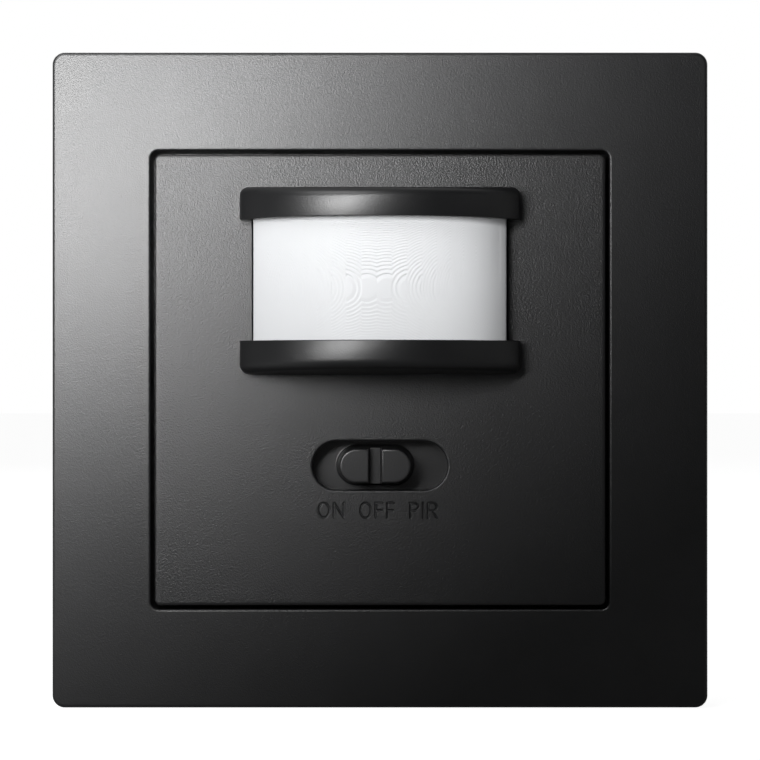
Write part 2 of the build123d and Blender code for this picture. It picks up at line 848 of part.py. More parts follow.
# Rear housing: a cup in the wall box, with screw posts, board shelves, lugs and claw wedges
low_shelf_x = housing_w / 2 - housing_wall - low_shelf_w / 2
high_shelf_x = housing_w / 2 - housing_wall - high_shelf_w / 2
window_front = power_back - terminal_step
wedge_w = nut_h - 2 * wedge_gap
with BuildPart() as rear_housing:
    with BuildSketch(facing(housing_end)):
        RectangleRounded(housing_w, housing_h, housing_corner_r)
    extrude(amount=ring_t - housing_end)
    fillet(rear_housing.faces().sort_by(Axis.Y)[-1].edges(), housing_wall / 2)
    with BuildSketch(facing(housing_floor)):
        RectangleRounded(
            housing_w - 2 * housing_wall,
            housing_h - 2 * housing_wall,
            housing_corner_r - housing_wall,
        )
    extrude(amount=ring_t - housing_floor, mode=Mode.SUBTRACT)
    with BuildSketch(facing(housing_floor)):
        with Locations(*housing_screw_places):
            Circle(boss_post_r)
    extrude(amount=ring_t - housing_floor)
    with BuildSketch(facing(housing_floor)):
        with Locations((low_shelf_x, 0), (-low_shelf_x, 0)):
            Rectangle(low_shelf_w, low_shelf_h)
    extrude(amount=power_back - housing_floor)
    with BuildSketch(facing(housing_floor)):
        with Locations(*four_corners(high_shelf_x, high_shelf_z)):
            Rectangle(high_shelf_w, high_shelf_h)
    extrude(amount=board_back - housing_floor)
    with BuildSketch(facing(ring_t)):
        with Locations(*housing_screw_places):
            Circle(housing_screw_r + thread_gap)
    extrude(amount=-housing_screw_l - pilot_extra, mode=Mode.SUBTRACT)
    # Lugs behind the ring, above and below
    with BuildSketch(facing(0)):
        with Locations((0, (housing_h + lug_reach) / 2), (0, -(housing_h + lug_reach) / 2)):
            Rectangle(lug_w, lug_reach)
    extrude(amount=-lug_t)
    # Window for the terminal block in the floor and the lower wall
    with BuildSketch(facing(housing_end)):
        with Locations((0, terminal_top + terminal_gap)):
            Rectangle(terminal_w + 2 * terminal_gap, housing_h, align=(Align.CENTER, Align.MAX))
    extrude(amount=window_front - housing_end, mode=Mode.SUBTRACT)
    # Wedges that the claws ride up as they are drawn forwards
    for side in (-1, 1):
        with BuildSketch(level(claw_z - wedge_w / 2)):
            with BuildLine():
                Polyline(
                    (side * (housing_w - housing_wall) / 2, -wedge_front),
                    (side * (housing_w / 2 + wedge_reach), -wedge_front),
                    (side * (housing_w / 2 + wedge_reach), -wedge_peak),
                    (side * housing_w / 2, -wedge_rear),
                    (side * (housing_w - housing_wall) / 2, -wedge_rear),
                    close=True,
                )
            make_face()
        extrude(amount=wedge_w)
rear_housing.part.label = "rear_housing"
export_step(rear_housing.part, "parts/rear_housing.step")


with BuildPart() as housing_screws:
    with BuildSketch(facing(flange_front)):
        with Locations(*housing_screw_places):
            Circle(housing_head_r)
    extrude(amount=-housing_head_t, taper=head_slope)
    with BuildSketch(facing(flange_front)):
        with Locations(*housing_screw_places):
            Circle(housing_screw_r)
    extrude(amount=-flange_t - housing_screw_l)
    with BuildSketch(facing(flange_front)):
        with Locations(*housing_screw_places):
            cross_slot(housing_screw_r / 2, 2 * housing_screw_r)
    extrude(amount=-housing_head_t / 2, mode=Mode.SUBTRACT)
housing_screws.part.label = "housing_screws"
export_step(housing_screws.part, "parts/housing_screws.step")


# Spreading claws: on each side a screw, a threaded block with trunnions and a toothed fork
pivot_f = nut_rear + nut_l / 2
cheek_inner = nut_h / 2 + cheek_gap
fork_h = 2 * (cheek_inner + cheek_t)
for hand, side in (("left", -1), ("right", 1)):
    with BuildPart() as claw_screw:
        with BuildSketch(facing(ring_t)):
            with Locations((side * claw_x, claw_z)):
                Circle(claw_head_r)
        extrude(amount=claw_head_t)
        fillet(claw_screw.faces().sort_by(Axis.Y)[0].edges(), ring_edge_r)
        with BuildSketch(facing(ring_t)):
            with Locations((side * claw_x, claw_z)):
                Circle(claw_screw_r)
        extrude(amount=claw_screw_end - ring_t)
        with BuildSketch(facing(ring_t + claw_head_t)):
            with Locations((side * claw_x, claw_z)):
                cross_slot(claw_screw_r / 2, 2 * claw_screw_r)
        extrude(amount=-claw_head_t / 2, mode=Mode.SUBTRACT)
    claw_screw.part.label = f"claw_screw_{hand}"
    export_step(claw_screw.part, f"parts/claw_screw_{hand}.step")

    with BuildPart() as claw_nut:
        with BuildSketch(facing(nut_rear)):
            with Locations((side * claw_x, claw_z)):
                Rectangle(nut_w, nut_h)
                Circle(claw_screw_r + nut_bore_gap, mode=Mode.SUBTRACT)
        extrude(amount=nut_l)
        for end in (-1, 1):
            with BuildSketch(level(claw_z + end * nut_h / 2)):
                with Locations((side * claw_x, -pivot_f)):
                    Circle(trunnion_r)
            extrude(amount=end * trunnion_l)
    claw_nut.part.label = f"claw_nut_{hand}"
    export_step(claw_nut.part, f"parts/claw_nut_{hand}.step")

    inner_x = claw_x - cheek_w / 2
    outer_x = claw_x + cheek_w / 2
    outline = [(inner_x, pivot_f + cheek_nose), (outer_x, pivot_f + cheek_nose)]
    for tooth in range(claw_teeth, 0, -1):
        root_f = cheek_end + tooth * tooth_l
        outline += [(outer_x, root_f), (outer_x + tooth_reach, root_f - tooth_l)]
    outline.append((inner_x, cheek_end))
    with BuildPart() as claw:
        with BuildSketch(level(claw_z - fork_h / 2)):
            with BuildLine():
                Polyline(*[(side * x, -f) for x, f in outline], close=True)
            make_face()
            with Locations((side * claw_x, -pivot_f)):
                Circle(trunnion_r + trunnion_gap, mode=Mode.SUBTRACT)
        extrude(amount=fork_h)
        # Only a bridge along the inner edge joins the two cheeks
        with BuildSketch(level(claw_z - cheek_inner)):
            with Locations((side * claw_x, -cheek_end)):
                Rectangle(2 * claw_x, 2 * housing_depth)
            with Locations((side * (inner_x + claw_bridge_t / 2), -cheek_end - claw_bridge_l / 2)):
                Rectangle(claw_bridge_t, claw_bridge_l, mode=Mode.SUBTRACT)
        extrude(amount=2 * cheek_inner, mode=Mode.SUBTRACT)
    claw.part.label = f"claw_{hand}"
    export_step(claw.part, f"parts/claw_{hand}.step")


def board_outline(width, corner_r):
    """A board's outline, notched around the housing's screw posts."""
    RectangleRounded(width, board_h, corner_r)
    with Locations(*housing_screw_places):
        Circle(boss_post_r + board_boss_gap, mode=Mode.SUBTRACT)


def header_holes(radius):
    """Round holes for the row of square header pins."""
    with Locations((header_x, header_z)):
        with GridLocations(0, header_pin_spacing, 1, header_pins):
            Circle(radius, mode=Mode.SUBTRACT)


# Sensor board
lead_places = [(0, lead_circle_r), (-lead_circle_r, 0), (lead_circle_r, 0)]
switch_pin_places = [(column * knob_travel, row * switch_pin_dz)
                     for column in (-1, 0, 1) for row in (-1, 1)]
with BuildPart() as sensor_board:
    with BuildSketch(facing(board_back)):
        board_outline(board_w, board_corner_r)
        header_holes(header_hole_r)
        with Locations((0, head_z)):
            with Locations(*lead_places):
                Circle(lead_r + lead_gap, mode=Mode.SUBTRACT)
        with Locations((knob_x, slot_z)):
            with Locations(*switch_pin_places):
                Circle(switch_pin_r + lead_gap, mode=Mode.SUBTRACT)
    extrude(amount=board_t)
sensor_board.part.label = "sensor_board"
export_step(sensor_board.part, "parts/sensor_board.step")


# Infrared detector: spacer, metal can, window and leads
spacer_front = board_front + spacer_t
can_top = spacer_front + can_base_t + can_h
with BuildPart() as pyro_spacer:
    with BuildSketch(facing(board_front)):
        with Locations((0, head_z)):
            Circle(can_base_r)
            with Locations(*lead_places):
                Circle(lead_r + lead_gap, mode=Mode.SUBTRACT)
    extrude(amount=spacer_t)
pyro_spacer.part.label = "pyro_spacer"
export_step(pyro_spacer.part, "parts/pyro_spacer.step")

with BuildPart() as pyro_can:
    with BuildSketch(facing(spacer_front)):
        with Locations((0, head_z)):
            Circle(can_base_r)
    extrude(amount=can_base_t)
    with BuildSketch(facing(spacer_front)):
        with Locations((0, head_z)):
            Circle(can_r)
    extrude(amount=can_base_t + can_h)
    fillet(pyro_can.faces().sort_by(Axis.Y)[0].edges(), can_edge_r)
    with BuildSketch(facing(spacer_front + can_base_t)):
        with Locations((0, head_z)):
            Circle(can_r - can_wall)
    extrude(amount=can_h - can_wall, mode=Mode.SUBTRACT)
    with BuildSketch(facing(can_top)):
        with Locations((0, head_z)):
            Rectangle(pyro_window_w, pyro_window_h)
    extrude(amount=-2 * can_wall, mode=Mode.SUBTRACT)
    with BuildSketch(facing(spacer_front)):
        with Locations((0, head_z)):
            with Locations(*lead_places):
                Circle(lead_r + lead_gap)
    extrude(amount=can_base_t, mode=Mode.SUBTRACT)
pyro_can.part.label = "pyro_can"
export_step(pyro_can.part, "parts/pyro_can.step")

with BuildPart() as pyro_window:
    with BuildSketch(facing(can_top - pyro_window_t)):
        with Locations((0, head_z)):
            Rectangle(pyro_window_w - 2 * pyro_window_gap, pyro_window_h - 2 * pyro_window_gap)
    extrude(amount=pyro_window_t - pyro_window_gap)
pyro_window.part.label = "pyro_window"
export_step(pyro_window.part, "parts/pyro_window.step")

with BuildPart() as pyro_leads:
    with BuildSketch(facing(board_back - lead_tail)):
        with Locations((0, head_z)):
            with Locations(*lead_places):
                Circle(lead_r)
    extrude(amount=lead_tail + board_t + spacer_t + 2 * can_base_t)
pyro_leads.part.label = "pyro_leads"
export_step(pyro_leads.part, "parts/pyro_leads.step")


# Daylight cell beside the detector
with BuildPart() as light_sensor:
    with BuildSketch(facing(board_front)):
        with Locations((light_x, head_z)):
            Circle(light_foot_r)
    extrude(amount=light_foot_t)
    with BuildSketch(facing(board_front)):
        with Locations((light_x, head_z)):
            Circle(light_r)
    extrude(amount=light_h)
    fillet(light_sensor.faces().sort_by(Axis.Y)[0].edges(), light_r * light_dome_share)
light_sensor.part.label = "light_sensor"
export_step(light_sensor.part, "parts/light_sensor.step")


# Slide switch: metal shell, base with terminals, lever with its sliding contact
switch_front = board_front + switch_shell_h
lever_front = switch_front - switch_shell_t - slide_clearance
lever_back = lever_front - switch_plate_t
lever_window_h = switch_lever_w + 2 * switch_end_gap
with BuildPart() as slide_switch_shell:
    with BuildSketch(facing(board_front)):
        with Locations((knob_x, slot_z)):
            Rectangle(switch_inner_w + 2 * switch_shell_t, switch_inner_h + 2 * switch_shell_t)
    extrude(amount=switch_shell_h)
    with BuildSketch(facing(board_front)):
        with Locations((knob_x, slot_z)):
            Rectangle(switch_inner_w, switch_inner_h)
    extrude(amount=switch_shell_h - switch_shell_t, mode=Mode.SUBTRACT)
    with BuildSketch(facing(board_front)):
        with Locations((knob_x, slot_z)):
            Rectangle(lever_window_h + 2 * knob_travel, lever_window_h)
    extrude(amount=switch_shell_h, mode=Mode.SUBTRACT)
slide_switch_shell.part.label = "slide_switch_shell"
export_step(slide_switch_shell.part, "parts/slide_switch_shell.step")

with BuildPart() as slide_switch_base:
    with BuildSketch(facing(board_front)):
        with Locations((knob_x, slot_z)):
            Rectangle(switch_inner_w - 2 * lead_gap, switch_inner_h - 2 * lead_gap)
            with Locations(*switch_pin_places):
                Circle(switch_pin_r + lead_gap, mode=Mode.SUBTRACT)
    extrude(amount=switch_base_t)
slide_switch_base.part.label = "slide_switch_base"
export_step(slide_switch_base.part, "parts/slide_switch_base.step")

with BuildPart() as slide_switch_terminals:
    with BuildSketch(facing(board_back - lead_tail)):
        with Locations((knob_x, slot_z)):
            with Locations(*switch_pin_places):
                Circle(switch_pin_r)
    extrude(amount=lead_tail + board_t + switch_base_t + switch_pin_rise)
slide_switch_terminals.part.label = "slide_switch_terminals"
export_step(slide_switch_terminals.part, "parts/slide_switch_terminals.step")

with BuildPart() as slide_switch_lever:
    with BuildSketch(facing(lever_back)):
        with Locations((knob_x, slot_z)):
            Rectangle(switch_plate_w, switch_inner_h - 2 * slide_clearance)
    extrude(amount=switch_plate_t)
    with BuildSketch(facing(lever_front)):
        with Locations((knob_x, slot_z)):
            Rectangle(switch_lever_w, switch_lever_w)
    extrude(amount=switch_lever_top - lever_front)
slide_switch_lever.part.label = "slide_switch_lever"
export_step(slide_switch_lever.part, "parts/slide_switch_lever.step")

with BuildPart() as slide_switch_contact:
    with BuildSketch(facing(lever_back)):
        with Locations((knob_x, slot_z)):
            with Locations((0, switch_pin_dz), (0, -switch_pin_dz)):
                Rectangle(switch_contact_w, switch_contact_h)
    extrude(amount=-switch_contact_t)
slide_switch_contact.part.label = "slide_switch_contact"
export_step(slide_switch_contact.part, "parts/slide_switch_contact.step")


# Trimmers: a square body with a slotted rotor in its bore
trimmer_front = board_front + trimmer_h
for use, side in (("time", -1), ("lux", 1)):
    with BuildPart() as trimmer_body:
        with BuildSketch(facing(board_front)):
            with Locations((side * trimmer_x, trimmer_z)):
                RectangleRounded(trimmer_size, trimmer_size, trimmer_corner_r)
        extrude(amount=trimmer_h)
        with BuildSketch(facing(trimmer_front)):
            with Locations((side * trimmer_x, trimmer_z)):
                Circle(rotor_r + rotor_gap)
        extrude(amount=-rotor_depth, mode=Mode.SUBTRACT)
    trimmer_body.part.label = f"{use}_trimmer_body"
    export_step(trimmer_body.part, f"parts/{use}_trimmer_body.step")

    with BuildPart() as trimmer_rotor:
        with BuildSketch(facing(trimmer_front + rotor_rise)):
            with Locations((side * trimmer_x, trimmer_z)):
                Circle(rotor_r)
        extrude(amount=-rotor_rise - rotor_depth + rotor_gap)
        with BuildSketch(facing(trimmer_front + rotor_rise)):
            with Locations((side * trimmer_x, trimmer_z)):
                Rectangle(rotor_slot_w, rotor_slot_l)
                with Locations((0, rotor_slot_l / 2)):
                    RegularPolygon(rotor_slot_w, 3, rotation=90)
        extrude(amount=-rotor_slot_depth, mode=Mode.SUBTRACT)
    trimmer_rotor.part.label = f"{use}_trimmer_rotor"
    export_step(trimmer_rotor.part, f"parts/{use}_trimmer_rotor.step")


# Control chip with its gull-wing legs
chip_leg_pitch = chip_h / chip_legs
with BuildPart() as sensor_chip:
    with BuildSketch(facing(board_front + chip_leg_t)):
        with Locations((chip_x, chip_z)):
            Rectangle(chip_w, chip_h)
    extrude(amount=chip_t)
    chamfer(sensor_chip.faces().sort_by(Axis.Y)[0].edges(), chip_leg_t)
    with BuildSketch(facing(board_front)):
        with Locations((chip_x, chip_z)):
            with GridLocations(0, chip_leg_pitch, 1, chip_legs):
                Rectangle(chip_w + 2 * chip_leg_reach, chip_leg_w)
    extrude(amount=2 * chip_leg_t)
sensor_chip.part.label = "sensor_chip"
export_step(sensor_chip.part, "parts/sensor_chip.step")

with BuildPart() as chip_components:
    with BuildSketch(facing(board_front)):
        with Locations(*[(x * board_w, z * board_h) for x, z in small_chip_place_shares]):
            Rectangle(small_chip_w, small_chip_l)
    extrude(amount=small_chip_t)
chip_components.part.label = "chip_components"
export_step(chip_components.part, "parts/chip_components.step")

with BuildPart() as sensor_capacitors:
    with BuildSketch(facing(board_front)):
        with Locations(*[(sensor_cap_x, z) for z in sensor_cap_z]):
            Circle(sensor_cap_r)
    extrude(amount=sensor_cap_h)
    tops = sensor_capacitors.faces().filter_by(Axis.Y).group_by(Axis.Y)[0]
    fillet(tops.edges(), sensor_cap_groove)
sensor_capacitors.part.label = "sensor_capacitors"
export_step(sensor_capacitors.part, "parts/sensor_capacitors.step")


# Pins and socket between the boards
socket_t = stack_gap - header_body_t - header_gap
with BuildPart() as board_header:
    with BuildSketch(facing(power_front)):
        with Locations((header_x, header_z)):
            Rectangle(header_pin_spacing, header_h)
    extrude(amount=header_body_t)
    with BuildSketch(facing(power_back - header_pin_tail)):
        with Locations((header_x, header_z)):
            with GridLocations(0, header_pin_spacing, 1, header_pins):
                Rectangle(header_pin_w, header_pin_w)
    extrude(amount=header_pin_tail + board_t + stack_gap - header_gap)
board_header.part.label = "board_header"
export_step(board_header.part, "parts/board_header.step")

with BuildPart() as header_socket:
    with BuildSketch(facing(board_back)):
        with Locations((header_x, header_z)):
            Rectangle(header_pin_spacing, header_h)
            with GridLocations(0, header_pin_spacing, 1, header_pins):
                Rectangle(header_pin_w + 2 * socket_gap, header_pin_w + 2 * socket_gap, mode=Mode.SUBTRACT)
    extrude(amount=-socket_t)
header_socket.part.label = "header_socket"
export_step(header_socket.part, "parts/header_socket.step")


# Power board
with BuildPart() as power_board:
    with BuildSketch(facing(power_back)):
        board_outline(power_w, power_corner_r)
        header_holes(header_hole_r)
    extrude(amount=board_t)
power_board.part.label = "power_board"
export_step(power_board.part, "parts/power_board.step")


# Relay: the coil stands on the yoke's foot, and the armature rocks on the yoke's post
coil_x = relay_x - coil_offset
post_x = coil_x + coil_flange_r + yoke_post_gap + yoke_t / 2
relay_inner_w = relay_w - 2 * relay_wall
relay_inner_h = relay_h - 2 * relay_wall
base_back = power_back - relay_base_t
coil_root = base_back - yoke_t
coil_tip = coil_root - coil_l
pole_tip = coil_tip - relay_base_gap - pole_face_t
armature_front = pole_tip - armature_gap
armature_back = armature_front - armature_t
post_tip = armature_front + armature_seat_gap
with BuildPart() as relay_cover:
    with BuildSketch(facing(power_back)):
        with Locations((relay_x, relay_z)):
            RectangleRounded(relay_w, relay_h, relay_edge_r)
    extrude(amount=-relay_depth)
    fillet(relay_cover.faces().sort_by(Axis.Y)[-1].edges(), relay_edge_r - relay_base_gap)
    with BuildSketch(facing(power_back)):
        with Locations((relay_x, relay_z)):
            Rectangle(relay_inner_w, relay_inner_h)
    extrude(amount=-relay_depth + relay_wall, mode=Mode.SUBTRACT)
relay_cover.part.label = "relay_cover"
export_step(relay_cover.part, "parts/relay_cover.step")

with BuildPart() as relay_base:
    with BuildSketch(facing(power_back)):
        with Locations((relay_x, relay_z)):
            Rectangle(relay_inner_w - 2 * relay_base_gap, relay_inner_h - 2 * relay_base_gap)
    extrude(amount=-relay_base_t)
relay_base.part.label = "relay_base"
export_step(relay_base.part, "parts/relay_base.step")

with BuildPart() as relay_yoke:
    with BuildSketch(level(relay_z - yoke_w / 2)):
        with BuildLine():
            Polyline(
                (coil_x - coil_r, -base_back),
                (post_x + yoke_t / 2, -base_back),
                (post_x + yoke_t / 2, -post_tip),
                (post_x - yoke_t / 2, -post_tip),
                (post_x - yoke_t / 2, -coil_root),
                (coil_x - coil_r, -coil_root),
                close=True,
            )
        make_face()
    extrude(amount=yoke_w)
    with BuildSketch(facing(coil_root)):
        with Locations((coil_x, relay_z)):
            Circle(core_r)
    extrude(amount=pole_tip - coil_root)
    with BuildSketch(facing(pole_tip)):
        with Locations((coil_x, relay_z)):
            Circle(pole_face_r)
    extrude(amount=pole_face_t)
relay_yoke.part.label = "relay_yoke"
export_step(relay_yoke.part, "parts/relay_yoke.step")

with BuildPart() as relay_coil:
    for root in (coil_root, coil_tip + coil_flange_t):
        with BuildSketch(facing(root)):
            with Locations((coil_x, relay_z)):
                Circle(coil_flange_r)
        extrude(amount=-coil_flange_t)
    with BuildSketch(facing(coil_root)):
        with Locations((coil_x, relay_z)):
            Circle(coil_r)
    extrude(amount=-coil_l)
    with BuildSketch(facing(coil_root)):
        with Locations((coil_x, relay_z)):
            Circle(core_r + core_gap)
    extrude(amount=-coil_l, mode=Mode.SUBTRACT)
relay_coil.part.label = "relay_coil"
export_step(relay_coil.part, "parts/relay_coil.step")

armature_left = coil_x - pole_face_r - armature_margin
armature_right = post_x + yoke_t / 2 + armature_overhang
blade_front = armature_front + blade_l
with BuildPart() as relay_armature:
    with BuildSketch(level(relay_z - yoke_w / 2)):
        with BuildLine():
            Polyline(
                (armature_left, -armature_front),
                (armature_left, -armature_back),
                (armature_right, -armature_back),
                (armature_right, -armature_front),
                close=True,
            )
        make_face()
    extrude(amount=yoke_w)
    with BuildSketch(level(relay_z - blade_w / 2)):
        with Locations((armature_right, -armature_front)):
            Rectangle(blade_t, blade_l, align=(Align.MAX, Align.MAX))
        with Locations((armature_right, -blade_front)):
            Rectangle(contact_t, 2 * contact_r, align=(Align.MIN, Align.MIN))
    extrude(amount=blade_w)
relay_armature.part.label = "relay_armature"
export_step(relay_armature.part, "parts/relay_armature.step")

fixed_contact_x = armature_right + contact_t + contact_gap
with BuildPart() as relay_contacts:
    with BuildSketch(level(relay_z - blade_w / 2)):
        with Locations((fixed_contact_x, -blade_front)):
            Rectangle(contact_t, 2 * contact_r, align=(Align.MIN, Align.MIN))
        with Locations((fixed_contact_x + contact_t, -base_back)):
            Rectangle(contact_post_t, contact_post_h, align=(Align.MIN, Align.MIN))
    extrude(amount=blade_w)
relay_contacts.part.label = "relay_contacts"
export_step(relay_contacts.part, "parts/relay_contacts.step")


# Parts of the mains supply, standing on the power board's rear face
with BuildPart() as film_capacitor:
    with BuildSketch(facing(power_back)):
        with Locations((film_x, film_z)):
            Rectangle(film_w, film_h)
    extrude(amount=-film_depth)
    fillet(film_capacitor.edges().filter_by(Axis.Y), film_edge_r)
    fillet(film_capacitor.faces().sort_by(Axis.Y)[-1].edges(), film_edge_r / 2)
film_capacitor.part.label = "film_capacitor"
export_step(film_capacitor.part, "parts/film_capacitor.step")

for name, x, z, radius, depth in (
    ("smoothing_capacitor", smoothing_x, smoothing_z, smoothing_r, smoothing_depth),
    ("filter_capacitor", filter_x, filter_z, filter_r, filter_depth),
):
    with BuildPart() as round_capacitor:
        with BuildSketch(level(z)):
            with BuildLine():
                Polyline(
                    (x, -power_back),
                    (x + radius - cap_edge_r, -power_back),
                    (x + radius, -power_back + cap_edge_r),
                    (x + radius, -power_back + 2 * cap_base_t),
                    (x + radius - cap_groove, -power_back + 2 * cap_base_t + cap_groove),
                    (x + radius, -power_back + 2 * cap_base_t + 2 * cap_groove),
                    (x + radius, -power_back + depth - cap_edge_r),
                    (x + radius - cap_edge_r, -power_back + depth),
                    (x + radius / 2, -power_back + depth),
                    (x + radius / 2, -power_back + depth - cap_groove / 2),
                    (x, -power_back + depth - cap_groove / 2),
                    close=True,
                )
            make_face()
        revolve(axis=Axis((x, 0, z), (0, 1, 0)))
    round_capacitor.part.label = name
    export_step(round_capacitor.part, f"parts/{name}.step")

with BuildPart() as bridge_rectifier:
    with BuildSketch(facing(power_back - bridge_leg_t)):
        with Locations((bridge_x, bridge_z)):
            Rectangle(bridge_w, bridge_h)
    extrude(amount=-bridge_t)
    chamfer(bridge_rectifier.faces().sort_by(Axis.Y)[-1].edges(), bridge_leg_t)
    with BuildSketch(facing(power_back)):
        with Locations((bridge_x, bridge_z)):
            with GridLocations(bridge_w / 2, 0, 2, 1):
                Rectangle(bridge_leg_w, bridge_h + 2 * bridge_leg_reach)
    extrude(amount=-2 * bridge_leg_t)
bridge_rectifier.part.label = "bridge_rectifier"
export_step(bridge_rectifier.part, "parts/bridge_rectifier.step")

varistor_f = power_back - wire_r - varistor_r
with BuildPart() as varistor:
    with BuildSketch(Plane.YZ.offset(varistor_x - varistor_t / 2)):
        with Locations((-varistor_f, varistor_z)):
            Circle(varistor_r)
    extrude(amount=varistor_t)
    fillet(varistor.edges(), varistor_edge_r)
    with BuildSketch(facing(power_back)):
        with Locations((varistor_x, varistor_z)):
            with GridLocations(0, varistor_r, 1, 2):
                Circle(wire_r)
    extrude(amount=-varistor_r)
varistor.part.label = "varistor"
export_step(varistor.part, "parts/varistor.step")

fuse_f = power_back - fuse_r - wire_r
fuse_lead_x = fuse_l / 2 + fuse_lead_overhang
fuse_cap = fuse_l / 2 - fuse_end_l
with BuildPart() as fuse_resistor:
    with BuildSketch(level(fuse_z)):
        with Locations((fuse_x, -fuse_f)):
            Polygon(
                (-fuse_l / 2, 0),
                (-fuse_l / 2, fuse_r - fuse_waist),
                (-fuse_l / 2 + fuse_waist, fuse_r),
                (-fuse_cap - fuse_waist, fuse_r),
                (-fuse_cap, fuse_r - fuse_waist),
                (fuse_cap, fuse_r - fuse_waist),
                (fuse_cap + fuse_waist, fuse_r),
                (fuse_l / 2 - fuse_waist, fuse_r),
                (fuse_l / 2, fuse_r - fuse_waist),
                (fuse_l / 2, 0),
                align=None,
            )
    revolve(axis=Axis((fuse_x, -fuse_f, fuse_z), (1, 0, 0)))
    with BuildSketch(Plane.YZ.offset(fuse_x - fuse_lead_x)):
        with Locations((-fuse_f, fuse_z)):
            Circle(wire_r)
    extrude(amount=2 * fuse_lead_x)
    with BuildSketch(facing(power_back)):
        with Locations((fuse_x, fuse_z)):
            with GridLocations(2 * fuse_lead_x - 2 * wire_r, 0, 2, 1):
                Rectangle(2 * wire_r, 2 * wire_r)
    extrude(amount=fuse_f - wire_r - power_back)
fuse_resistor.part.label = "fuse_resistor"
export_step(fuse_resistor.part, "parts/fuse_resistor.step")


# Terminals: in each pole a screw lifts a cage that clamps the wire against a fixed bar
head_back = housing_end + terminal_head_sink
head_front = head_back + terminal_head_t
pocket_back = head_front + terminal_partition_t
cage_back = pocket_back + cage_rest_gap
bar_back = cage_back + cage_top_t + cage_bar_gap
bar_front = bar_back + bar_t
cage_inner_front = bar_front + wire_space
cage_front = cage_inner_front + cage_floor_t
pocket_front = cage_front + cage_end_gap
wire_f = bar_front + wire_space / 2
pocket_w = cage_w + 2 * cage_gap
pocket_h = cage_h + 2 * cage_gap
poles = [-pole_pitch, 0, pole_pitch]
block_bottom = -housing_h / 2
inner_bottom = block_bottom + housing_wall + terminal_gap
with BuildPart() as terminal_block:
    with BuildSketch(facing(housing_end)):
        with Locations((0, (terminal_top + block_bottom) / 2)):
            Rectangle(terminal_w, terminal_top - block_bottom)
    extrude(amount=window_front - terminal_gap - housing_end)
    fillet(terminal_block.faces().sort_by(Axis.Y)[-1].edges(), terminal_edge_r)
    with BuildSketch(facing(housing_end + terminal_edge_r)):
        with Locations((0, (terminal_top + inner_bottom) / 2)):
            Rectangle(terminal_w, terminal_top - inner_bottom)
    extrude(amount=power_back - housing_end - terminal_edge_r)
    for x in poles:
        with BuildSketch(facing(pocket_back)):
            with Locations((x, terminal_z)):
                Rectangle(pocket_w, pocket_h)
        extrude(amount=pocket_front - pocket_back, mode=Mode.SUBTRACT)
        with BuildSketch(facing(housing_end)):
            with Locations((x, terminal_z)):
                Circle(terminal_head_r + terminal_head_gap)
        extrude(amount=head_front - housing_end, mode=Mode.SUBTRACT)
        with BuildSketch(facing(housing_end)):
            with Locations((x, terminal_z)):
                Circle(terminal_screw_r + claw_screw_gap)
        extrude(amount=pocket_back - housing_end, mode=Mode.SUBTRACT)
        with BuildSketch(level(block_bottom)):
            with Locations((x, -wire_f)):
                Circle(wire_hole_r)
        extrude(amount=terminal_z - block_bottom, mode=Mode.SUBTRACT)
        with BuildSketch(level(terminal_z)):
            with Locations((x, -(bar_back + bar_front) / 2)):
                Rectangle(bar_w + 2 * bar_gap, bar_t + 2 * bar_gap)
        extrude(amount=terminal_top - terminal_z, mode=Mode.SUBTRACT)
terminal_block.part.label = "terminal_block"
export_step(terminal_block.part, "parts/terminal_block.step")

bar_top = terminal_top + bar_reach
with BuildPart() as terminal_bars:
    for x in poles:
        with BuildSketch(facing(bar_back)):
            with Locations((x, bar_top)):
                Rectangle(bar_w, bar_top - terminal_z + cage_h / 2, align=(Align.CENTER, Align.MAX))
        extrude(amount=bar_t)
        with BuildSketch(facing(bar_back)):
            with Locations((x, bar_top)):
                Rectangle(bar_tail_w, bar_t, align=(Align.CENTER, Align.MAX))
        extrude(amount=power_back - bar_back)
terminal_bars.part.label = "terminal_bars"
export_step(terminal_bars.part, "parts/terminal_bars.step")

for number, x in enumerate(poles, start=1):
    with BuildPart() as terminal_screw:
        with BuildSketch(facing(head_back)):
            with Locations((x, terminal_z)):
                Circle(terminal_head_r)
        extrude(amount=terminal_head_t)
        with BuildSketch(facing(head_front)):
            with Locations((x, terminal_z)):
                Circle(terminal_screw_r)
        extrude(amount=bar_back - bar_screw_gap - head_front)
        with BuildSketch(facing(head_back)):
            with Locations((x, terminal_z)):
                Rectangle(2 * terminal_head_r, terminal_slot_w)
                Rectangle(terminal_slot_w, 2 * terminal_screw_r)
        extrude(amount=terminal_slot_depth, mode=Mode.SUBTRACT)
    terminal_screw.part.label = f"terminal_screw_{number}"
    export_step(terminal_screw.part, f"parts/terminal_screw_{number}.step")

    with BuildPart() as terminal_cage:
        with BuildSketch(facing(cage_back)):
            with Locations((x, terminal_z)):
                Rectangle(cage_w, cage_h)
        extrude(amount=cage_front - cage_back)
        with BuildSketch(facing(cage_back + cage_top_t)):
            with Locations((x, terminal_z)):
                Rectangle(cage_w - 2 * cage_side_t, cage_h)
        extrude(amount=cage_inner_front - cage_back - cage_top_t, mode=Mode.SUBTRACT)
        with BuildSketch(facing(cage_back)):
            with Locations((x, terminal_z)):
                Circle(terminal_screw_r + cage_bore_gap)
        extrude(amount=cage_top_t, mode=Mode.SUBTRACT)
    terminal_cage.part.label = f"terminal_cage_{number}"
    export_step(terminal_cage.part, f"parts/terminal_cage_{number}.step")
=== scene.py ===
"""Looks of a flush-mounted motion sensor switch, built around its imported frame.

Shapes are worked out in millimetres as x (to the right), f (in front of the wall) and z (up), and become
metres with Y pointing into the wall when they are stored in a mesh.
"""

import json
import math

